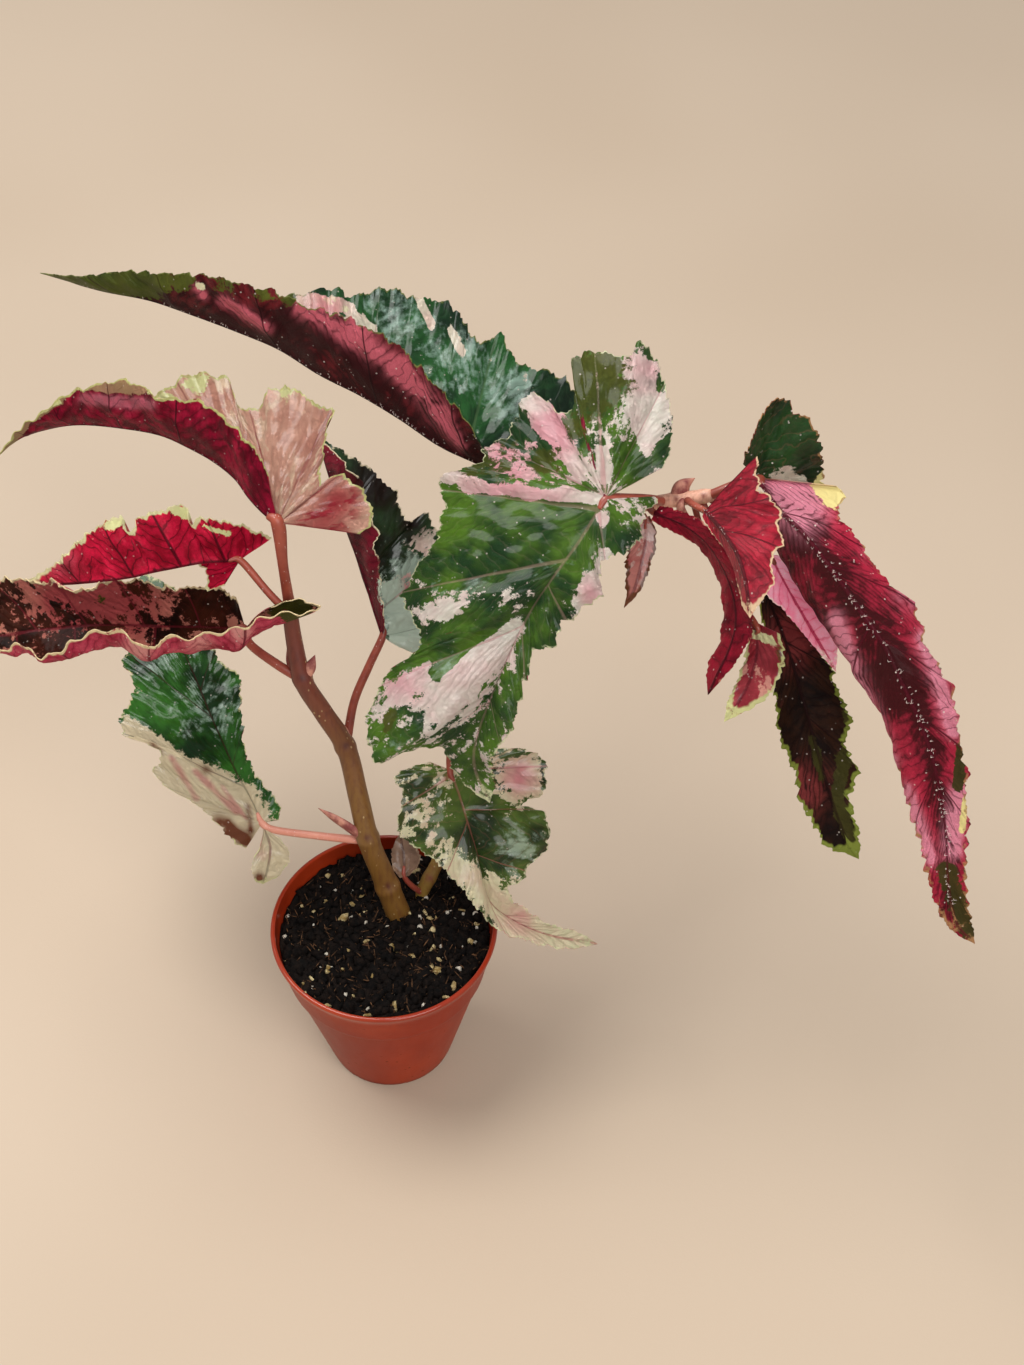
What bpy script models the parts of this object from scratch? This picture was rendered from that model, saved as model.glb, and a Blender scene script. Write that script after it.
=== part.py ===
"""Potted begonia: a cane begonia in a plastic nursery pot.

The canes and leaves are drawn as points of one front view: right, down and
the height above the table. sight() turns such a point into a place in the
model, so the drawing can be changed by hand. Everything else is in metres.
The origin is the centre of the pot's flat underside, +Z is up.
"""
import math

import bmesh
import bpy
import numpy as np
from mathutils import Matrix, Vector

MM = 0.001

# The front view that the plant is drawn in: eye, downward tilt, focal length.
VIEW_EYE = (67.6, -673.7, 1060.3)
VIEW_TILT = math.radians(48.523)
VIEW_FOCAL = 2200.0
VIEW_MIDDLE = (512.0, 682.5)

# Pot, in millimetres.
POT_HEIGHT = 105.5
POT_RIM_RADIUS = 60.0
POT_LIP_HEIGHT = 3.0
POT_LIP_ROLL = 1.2
POT_COLLAR_RADIUS = 54.0
POT_COLLAR_HEIGHT = 77.5
POT_BODY_RADIUS = 52.3
POT_BODY_HEIGHT = 75.5
POT_BASE_RADIUS = 34.2
POT_WALL = 1.6
POT_FLOOR = 2.4
POT_SIDES = 32
DRAIN_HOLES = 6
DRAIN_RADIUS = 4.0
DRAIN_CIRCLE = 22.0
DRAIN_TURN = 0.41
NOTCHES = 8
NOTCH_RADIUS = 2.0
NOTCH_DROP = 0.6
NOTCH_TURN = 0.3
CUTTER_LENGTH = 12.0
NOTCH_LENGTH = 7.0
CUTTER_SIDES = 12
SHARP_ANGLE = math.radians(35)

# Soil and fits.
SOIL_LEVEL = 96.5
SOIL_BUMP = 0.9
SOIL_RINGS = 5
SOIL_CLEAR = 0.15
GAP = 0.3

# Leaves. A blade narrower than one of the widths has that much less of it.
BLADE_THICKNESS = 0.7
RIB_SLANT = 0.35
TIP_SLANT = 0.08
FAN_END = 0.015
LOBE_END = 0.12
LOBE_BELLY = 0.2
TOOTH_WIDTH = 12.0
BELLY_WIDTH = 20.0
PUFF_START = 5.0
PUFF_WIDTH = 22.0
WAVE_START = 3.0
WAVE_WIDTH = 18.0
WAVE_SHIFT = 1.3

# Canes and stalks.
CANE_SIDES = 10
CANE_STEPS = 20
STALK_SIDES = 6
STALK_STEPS = 7
STALK_RUNS = (6.0, 8.0, 5.0, 7.0, 9.0, 10.0, 4.0, 11.0)
STIPULE_SIDES = 6
STIPULE_STEPS = 5
ROUND_END = 0.35
CURVE_STEPS = 160


# Helpers


def sight(point):
    """A drawn point (right, down, height) as millimetres in the model."""
    right, down, height = point[:3]
    across = (right - VIEW_MIDDLE[0]) / VIEW_FOCAL
    rise = (VIEW_MIDDLE[1] - down) / VIEW_FOCAL
    cos_tilt, sin_tilt = math.cos(VIEW_TILT), math.sin(VIEW_TILT)
    ray = (across, cos_tilt + rise * sin_tilt, rise * cos_tilt - sin_tilt)
    reach = (height - VIEW_EYE[2]) / ray[2]
    place = [eye + reach * part for eye, part in zip(VIEW_EYE, ray)]
    return tuple(place) + tuple(point[3:])


def smooth_line(points, steps):
    """Catmull-Rom line through the points, read at even lengths."""
    points = np.asarray(points, float)
    ends = np.vstack([2 * points[0] - points[1], points,
                      2 * points[-1] - points[-2]])
    fine = []
    for i in range(1, len(ends) - 2):
        p0, p1, p2, p3 = ends[i - 1:i + 3]
        for t in np.arange(0.0, 1.0, 0.05):
            fine.append(0.5 * (2 * p1 + (p2 - p0) * t
                               + (2 * p0 - 5 * p1 + 4 * p2 - p3) * t * t
                               + (3 * p1 - p0 - 3 * p2 + p3) * t ** 3))
    fine.append(ends[-2])
    fine = np.array(fine)
    runs = np.linalg.norm(np.diff(fine[:, :3], axis=0), axis=1)
    length = np.concatenate([[0.0], np.cumsum(runs)])
    at = np.linspace(0.0, length[-1], steps + 1)
    return np.stack([np.interp(at, length, fine[:, k])
                     for k in range(fine.shape[1])], 1)


def read_line(line, share):
    """Points of a line at shares 0 to 1 of its length."""
    last = len(line) - 1
    where = np.clip(np.asarray(share, float), 0.0, 1.0) * last
    i = np.minimum(where.astype(int), last - 1)
    part = (where - i)[..., None]
    return line[i] * (1 - part) + line[i + 1] * part


def unit(vectors):
    return vectors / (np.linalg.norm(vectors, axis=-1, keepdims=True) + 1e-9)


def material(name, colour, roughness):
    mat = bpy.data.materials.new(name)
    mat.use_nodes = True
    shader = mat.node_tree.nodes["Principled BSDF"]
    shader.inputs["Base Color"].default_value = (*colour, 1.0)
    shader.inputs["Roughness"].default_value = roughness
    shader.inputs["Metallic"].default_value = 0.0
    return mat


def add_object(name, verts, faces, mat=None):
    """An object from points in millimetres."""
    mesh = bpy.data.meshes.new(name)
    mesh.from_pydata([[c * MM for c in v] for v in verts], [], faces)
    if mat:
        mesh.materials.append(mat)
    mesh.validate()
    obj = bpy.data.objects.new(name, mesh)
    bpy.context.scene.collection.objects.link(obj)
    return obj


def combine(target, other, operation, crossing=False):
    """Apply a Boolean of the other object, and remove that object."""
    mod = target.modifiers.new(operation.lower(), "BOOLEAN")
    mod.operation = operation
    mod.object = other
    mod.solver = "EXACT"
    mod.use_self = crossing
    depsgraph = bpy.context.evaluated_depsgraph_get()
    result = bpy.data.meshes.new_from_object(target.evaluated_get(depsgraph))
    target.modifiers.clear()
    target.data = result
    bpy.data.objects.remove(other)


def keep_largest(obj):
    """Drop the loose scraps that a cut leaves, and split into triangles."""
    bm = bmesh.new()
    bm.from_mesh(obj.data)
    bmesh.ops.triangulate(bm, faces=bm.faces)
    left = set(bm.faces)
    pieces = []
    while left:
        piece = {left.pop()}
        edge = list(piece)
        while edge:
            face = edge.pop()
            near = {other for side in face.edges for other in side.link_faces}
            near = near & left
            left -= near
            piece |= near
            edge.extend(near)
        pieces.append(piece)
    largest = max(pieces, key=lambda piece: sum(f.calc_area() for f in piece))
    scraps = [face for piece in pieces if piece is not largest
              for face in piece]
    bmesh.ops.delete(bm, geom=scraps, context="FACES")
    bm.to_mesh(obj.data)
    bm.free()


def tube(name, drawn, sides, steps, grow=0.0, mat=None):
    """A round stem along drawn points that end in a radius, rounded ends."""
    line = smooth_line([sight(p) for p in drawn], steps)
    path, radius = line[:, :3], line[:, 3] + grow
    ahead = unit(np.gradient(path, axis=0))
    side = unit(np.cross(ahead, np.array([0.35, 1.0, 0.15])))
    up = np.cross(ahead, side)
    verts, faces = [], []
    for i in range(steps + 1):
        for k in range(sides):
            turn = 2 * math.pi * k / sides
            spoke = math.cos(turn) * side[i] + math.sin(turn) * up[i]
            verts.append(path[i] + radius[i] * spoke)
    for i in range(steps):
        for k in range(sides):
            a = i * sides + k
            b = i * sides + (k + 1) % sides
            faces.append((a, b, b + sides, a + sides))
    for ring, sign in ((0, -1), (steps, 1)):
        verts.append(path[ring]
                     + sign * ROUND_END * radius[ring] * ahead[ring])
        tip = len(verts) - 1
        for k in range(sides):
            a = ring * sides + k
            b = ring * sides + (k + 1) % sides
            faces.append((tip, b, a) if sign < 0 else (tip, a, b))
    return add_object(name, verts, faces, mat)


# Leaf blades


def margin_line(midrib, margin):
    """The margin of one half, and the share of the midrib at each point."""
    line = smooth_line([sight(p) for p in margin] + [(*midrib[-1], 1.0)],
                       CURVE_STEPS)
    rising = np.maximum.accumulate(np.clip(line[:, 3], 0.0, 1.0))
    return line[:, :3], rising + np.linspace(0.0, 1e-4, len(rising))


def half_columns(midrib, margin, shares, fan):
    """Margin points of one half: first the fan round the stalk, then one
    point for each share of the midrib."""
    line, rising = margin_line(midrib, margin)
    along = np.linspace(0.0, 1.0, len(line))
    start = np.interp(FAN_END, rising, along)
    places = np.linspace(0.0, start, fan + 1)
    rest = np.interp(shares, rising, along)
    places = np.concatenate([places, rest])
    points = read_line(line, places)
    ribs = np.concatenate([np.zeros(fan + 1), shares])
    return points, ribs, places


def even_shares(midrib, margins, count):
    """Shares of the midrib that give both halves margin points at nearly
    even spacing."""
    test = np.linspace(FAN_END, 1.0, CURVE_STEPS)
    total = np.zeros_like(test)
    for margin in margins:
        line, rising = margin_line(midrib, margin)
        along = np.interp(test, rising, np.linspace(0.0, 1.0, len(line)))
        total += (along - along[0]) / (along[-1] - along[0])
    total = total / len(margins)
    shares = np.interp(np.linspace(0.0, 1.0, count + 1)[1:], total, test)
    shares[-1] = 1.0
    return shares


def blade(name, leaf, mat):
    """One blade: ribs run from the midrib out to both margins, sag between,
    puff up between the main veins and end in teeth; then it is thickened."""
    midrib = smooth_line([sight(p) for p in leaf["midrib"]], CURVE_STEPS)
    rings = leaf.get("rings", 4)
    shares = even_shares(midrib, (leaf["left"], leaf["right"]), leaf["ribs"])
    halves = []
    for half, fan in (("left", leaf["fans"][0]), ("right", leaf["fans"][1])):
        edge, ribs, places = half_columns(midrib, leaf[half], shares, fan)
        root = read_line(midrib, ribs)
        out = edge - root
        width = np.linalg.norm(out, axis=1)
        teeth = np.where(np.arange(len(edge)) % 2, 0.5, -0.5)
        teeth *= leaf["teeth"] * np.clip(width / TOOTH_WIDTH, 0.0, 1.0)
        teeth[[0, -1]] = 0.0
        out = out + unit(out) * teeth[:, None]
        r = np.linspace(0.0, 1.0, rings + 1)
        slant = RIB_SLANT + (TIP_SLANT - RIB_SLANT) * ribs[:, None]
        centre = read_line(midrib, ribs[:, None] * (1 - slant + slant * r))
        sheet = centre + r[None, :, None] * out[:, None, :]
        along = np.gradient(sheet, axis=0)
        outward = np.gradient(sheet, axis=1)
        turn = 1.0 if half == "left" else -1.0
        upper = unit(turn * np.cross(along, outward))
        for _ in range(2):
            mixed = upper.copy()
            mixed[1:] += upper[:-1]
            mixed[:-1] += upper[1:]
            upper = unit(mixed)
        bulge = 4 * r * (1 - r) * leaf["belly"][0 if half == "left" else 1]
        depth = width * np.clip(width / BELLY_WIDTH, 0.0, 1.0)
        depth = depth * (LOBE_BELLY + (1 - LOBE_BELLY)
                         * np.clip(ribs / LOBE_END, 0.0, 1.0))
        lift = depth[:, None] * bulge[None, :]
        veins = np.array([0.0, *leaf["veins"][half], 1.0])
        cell = np.clip(np.searchsorted(veins, places, side="right") - 1,
                       0, len(veins) - 2)
        part = (places - veins[cell]) / (veins[cell + 1] - veins[cell])
        puff = leaf["puff"] * np.sin(math.pi * part)
        puff = puff * np.clip((width - PUFF_START) / PUFF_WIDTH, 0.0, 1.0)
        lift = lift + puff[:, None] * np.sin(math.pi * 0.85 * r ** 0.8)
        wave = np.sin(2 * math.pi * leaf["waves"] * places
                      + (0.0 if half == "left" else WAVE_SHIFT))
        wave = wave * leaf["wave"] * np.sqrt(
            np.sin(math.pi * np.clip(places, 0.02, 0.98)))
        wave = wave * np.clip((width - WAVE_START) / WAVE_WIDTH, 0.0, 1.0)
        lift = lift + wave[:, None] * (r ** 2)[None, :]
        sheet = sheet + upper * lift[..., None]
        sheet[:, 0] = centre[:, 0]
        halves.append((sheet, fan))
    verts, tris = join_halves(halves, rings)
    return thicken(name, np.array(verts), tris, mat)


def join_halves(halves, rings):
    """Points and triangles of both halves, sharing the midrib and tip."""
    (left, left_fan), (right, right_fan) = halves
    verts = [left[0, 0]]
    shared = {0: 0}
    tris = []
    tip_row = None
    for sheet, fan, flip in ((left, left_fan, False), (right, right_fan, True)):
        index = np.zeros((len(sheet), rings + 1), int)
        last = len(sheet) - 1
        for i in range(len(sheet)):
            rib = max(0, i - fan)
            if rib not in shared:
                shared[rib] = len(verts)
                verts.append(sheet[i, 0])
            index[i, 0] = shared[rib]
            if i == last and tip_row is not None:
                index[i] = tip_row
                continue
            for j in range(1, rings + 1):
                index[i, j] = len(verts)
                verts.append(sheet[i, j])
        if tip_row is None:
            tip_row = index[last].copy()
        for i in range(last):
            for j in range(rings):
                a, b = index[i, j], index[i + 1, j]
                c, d = index[i + 1, j + 1], index[i, j + 1]
                split = ((a, b, c), (a, c, d))
                if i == last - 1:
                    split = ((a, b, d), (b, c, d))
                for tri in split:
                    if len(set(tri)) == 3:
                        tris.append(tri[::-1] if flip else tri)
    return verts, tris


def thicken(name, verts, tris, mat):
    """A closed sheet of even thickness, split alike on both faces."""
    tris = np.array(tris)
    corner = verts[tris]
    facing = np.cross(corner[:, 1] - corner[:, 0], corner[:, 2] - corner[:, 0])
    normal = np.zeros_like(verts)
    for k in range(3):
        np.add.at(normal, tris[:, k], unit(facing))
    normal = unit(normal)
    count = len(verts)
    both = np.concatenate([verts + normal * BLADE_THICKNESS / 2,
                           verts - normal * BLADE_THICKNESS / 2])
    faces = [tuple(t) for t in tris]
    faces += [tuple(t[::-1] + count) for t in tris]
    edges = {}
    for t in tris:
        for k in range(3):
            a, b = int(t[k]), int(t[(k + 1) % 3])
            edges[(a, b)] = True
    for a, b in edges:
        if (b, a) not in edges:
            faces.append((b, a, a + count))
            faces.append((b, a + count, b + count))
    return add_object(name, both, faces, mat)


# Pot and soil


def turned(name, profile, mat):
    """A solid of revolution from (radius, height) pairs, closed on the axis."""
    bm = bmesh.new()
    line = [bm.verts.new((r * MM, 0.0, z * MM)) for r, z in profile]
    edges = [bm.edges.new(pair) for pair in zip(line[:-1], line[1:])]
    bmesh.ops.spin(bm, geom=line + edges, axis=(0, 0, 1), cent=(0, 0, 0),
                   steps=POT_SIDES, angle=2 * math.pi)
    bmesh.ops.remove_doubles(bm, verts=bm.verts, dist=1e-5)
    bmesh.ops.recalc_face_normals(bm, faces=bm.faces)
    mesh = bpy.data.meshes.new(name)
    bm.to_mesh(mesh)
    bm.free()
    mesh.materials.append(mat)
    obj = bpy.data.objects.new(name, mesh)
    bpy.context.scene.collection.objects.link(obj)
    return obj


def rod(name, radius, length, place, turn):
    """A plain round cutter, in millimetres."""
    bm = bmesh.new()
    bmesh.ops.create_cone(bm, cap_ends=True, segments=CUTTER_SIDES,
                          radius1=radius * MM, radius2=radius * MM,
                          depth=length * MM)
    spot = Matrix.Translation(Vector(place) * MM)
    bmesh.ops.transform(bm, matrix=spot @ turn, verts=bm.verts)
    mesh = bpy.data.meshes.new(name)
    bm.to_mesh(mesh)
    bm.free()
    obj = bpy.data.objects.new(name, mesh)
    bpy.context.scene.collection.objects.link(obj)
    return obj


def inner_radius(height):
    """Radius of the pot's inside wall at a height."""
    heights = (POT_FLOOR, POT_BODY_HEIGHT, POT_COLLAR_HEIGHT,
               POT_HEIGHT - POT_LIP_HEIGHT)
    radii = (POT_BASE_RADIUS, POT_BODY_RADIUS, POT_COLLAR_RADIUS,
             POT_RIM_RADIUS - POT_LIP_ROLL)
    return float(np.interp(height, heights, radii)) - POT_WALL


def build_pot(mat):
    """Tapered body, wider collar with a rolled lip, holes and notches."""
    lip = POT_HEIGHT - POT_LIP_HEIGHT
    profile = [
        (0, 0), (POT_BASE_RADIUS - 0.8, 0), (POT_BASE_RADIUS, 0.8),
        (POT_BODY_RADIUS, POT_BODY_HEIGHT),
        (POT_COLLAR_RADIUS, POT_COLLAR_HEIGHT),
        (POT_RIM_RADIUS - POT_LIP_ROLL, lip),
        (POT_RIM_RADIUS - 0.2, lip + 0.6),
        (POT_RIM_RADIUS, lip + 1.5), (POT_RIM_RADIUS - 0.5, POT_HEIGHT - 0.3),
        (POT_RIM_RADIUS - 1.4, POT_HEIGHT),
        (POT_RIM_RADIUS - 2.4, POT_HEIGHT - 0.4),
        (inner_radius(lip), lip),
        (inner_radius(POT_COLLAR_HEIGHT), POT_COLLAR_HEIGHT),
        (inner_radius(POT_BODY_HEIGHT), POT_BODY_HEIGHT),
        (inner_radius(POT_FLOOR), POT_FLOOR), (0, POT_FLOOR)]
    pot = turned("pot", profile, mat)
    for k in range(DRAIN_HOLES):
        turn = 2 * math.pi * (k + DRAIN_TURN) / DRAIN_HOLES
        spot = (DRAIN_CIRCLE * math.cos(turn), DRAIN_CIRCLE * math.sin(turn), 0)
        hole = rod("hole", DRAIN_RADIUS, CUTTER_LENGTH, spot,
                   Matrix.Identity(4))
        combine(pot, hole, "DIFFERENCE")
    for k in range(NOTCHES):
        turn = 2 * math.pi * (k + NOTCH_TURN) / NOTCHES
        spot = (POT_BASE_RADIUS * math.cos(turn),
                POT_BASE_RADIUS * math.sin(turn), -NOTCH_DROP)
        lay = (Matrix.Rotation(turn, 4, "Z")
               @ Matrix.Rotation(math.pi / 2, 4, "Y"))
        notch = rod("notch", NOTCH_RADIUS, NOTCH_LENGTH, spot, lay)
        combine(pot, notch, "DIFFERENCE")
    return pot


def build_soil(mat, canes):
    """Potting soil up to just under the rim, its top slightly uneven, with a
    plain hole for each cane."""
    floor = POT_FLOOR + GAP
    heights = [floor, POT_BODY_HEIGHT, POT_COLLAR_HEIGHT]
    verts, faces = [(0.0, 0.0, floor)], []
    for z in heights:
        for k in range(POT_SIDES):
            turn = 2 * math.pi * k / POT_SIDES
            reach = inner_radius(z) - GAP - SOIL_CLEAR
            verts.append((reach * math.cos(turn), reach * math.sin(turn), z))
    edge = inner_radius(SOIL_LEVEL) - GAP - SOIL_CLEAR
    for ring in range(SOIL_RINGS, 0, -1):
        for k in range(POT_SIDES):
            turn = 2 * math.pi * k / POT_SIDES
            reach = edge * ring / SOIL_RINGS
            x, y = reach * math.cos(turn), reach * math.sin(turn)
            bump = math.sin(x * 0.31 + 1.0) * math.cos(y * 0.27 + 0.4)
            bump += 0.6 * math.sin(x * 0.83 - y * 0.61)
            verts.append((x, y, SOIL_LEVEL + SOIL_BUMP * bump))
    verts.append((0.0, 0.0, SOIL_LEVEL))
    rows = len(heights) + SOIL_RINGS
    for k in range(POT_SIDES):
        n = (k + 1) % POT_SIDES
        faces.append((0, 1 + n, 1 + k))
        for row in range(rows - 1):
            a, b = 1 + row * POT_SIDES + k, 1 + row * POT_SIDES + n
            faces.append((a, b, b + POT_SIDES, a + POT_SIDES))
        last = 1 + (rows - 1) * POT_SIDES
        faces.append((last + k, last + n, len(verts) - 1))
    soil = add_object("soil", verts, faces, mat)
    for cane in canes:
        hole = tube("hole", cane["line"], CANE_SIDES, CANE_STEPS, GAP)
        combine(soil, hole, "DIFFERENCE")
    return soil


# The drawing: right, down, height in mm, then the share of the midrib

MAIN_CANE = [
    (401, 919, 84, 6.9), (397, 910, 98, 6.6), (383, 875, 124, 6),
    (369, 841, 150, 5.6), (358, 795, 176, 5.3), (346, 748, 202, 5.1),
    (323, 712, 226, 4.9), (303, 680, 247, 4.7), (294, 640, 268, 4.1),
    (289, 602, 289, 3.6)]
SIDE_CANE = [
    (425, 905, 84, 3.6), (422, 893, 97, 3.6), (438, 861, 116, 3.5),
    (464, 803, 145, 3.4), (486, 750, 171, 3.3), (502, 700, 195, 3.2),
    (522, 640, 226, 3.2), (546, 583, 258, 3.2), (580, 538, 288, 3.2),
    (628, 510, 311, 3.3), (672, 500, 320, 3.5), (698, 497, 325, 3.4),
    (712, 495, 328, 3)]

MAIN_STIPULES = [
    [(362, 838, 153, 1.6), (350, 828, 160, 2), (333, 817, 167, 1.5),
     (318, 808, 172, .5)],
    [(345, 745, 204, 1.6), (343, 731, 211, 1.8), (337, 718, 218, .5)],
    [(302, 678, 249, 1.8), (310, 667, 255, 1.6), (315, 655, 261, .4)],
    [(299, 680, 248, 1.6), (291, 664, 254, 1.4), (287, 648, 262, .4)]]
SIDE_STIPULES = [
    [(676, 499, 321, 1.8), (683, 486, 328, 2.1), (695, 478, 332, .6)],
    [(682, 499, 322, 1.6), (681, 508, 321, 2), (688, 514, 320, .5)]]

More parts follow.
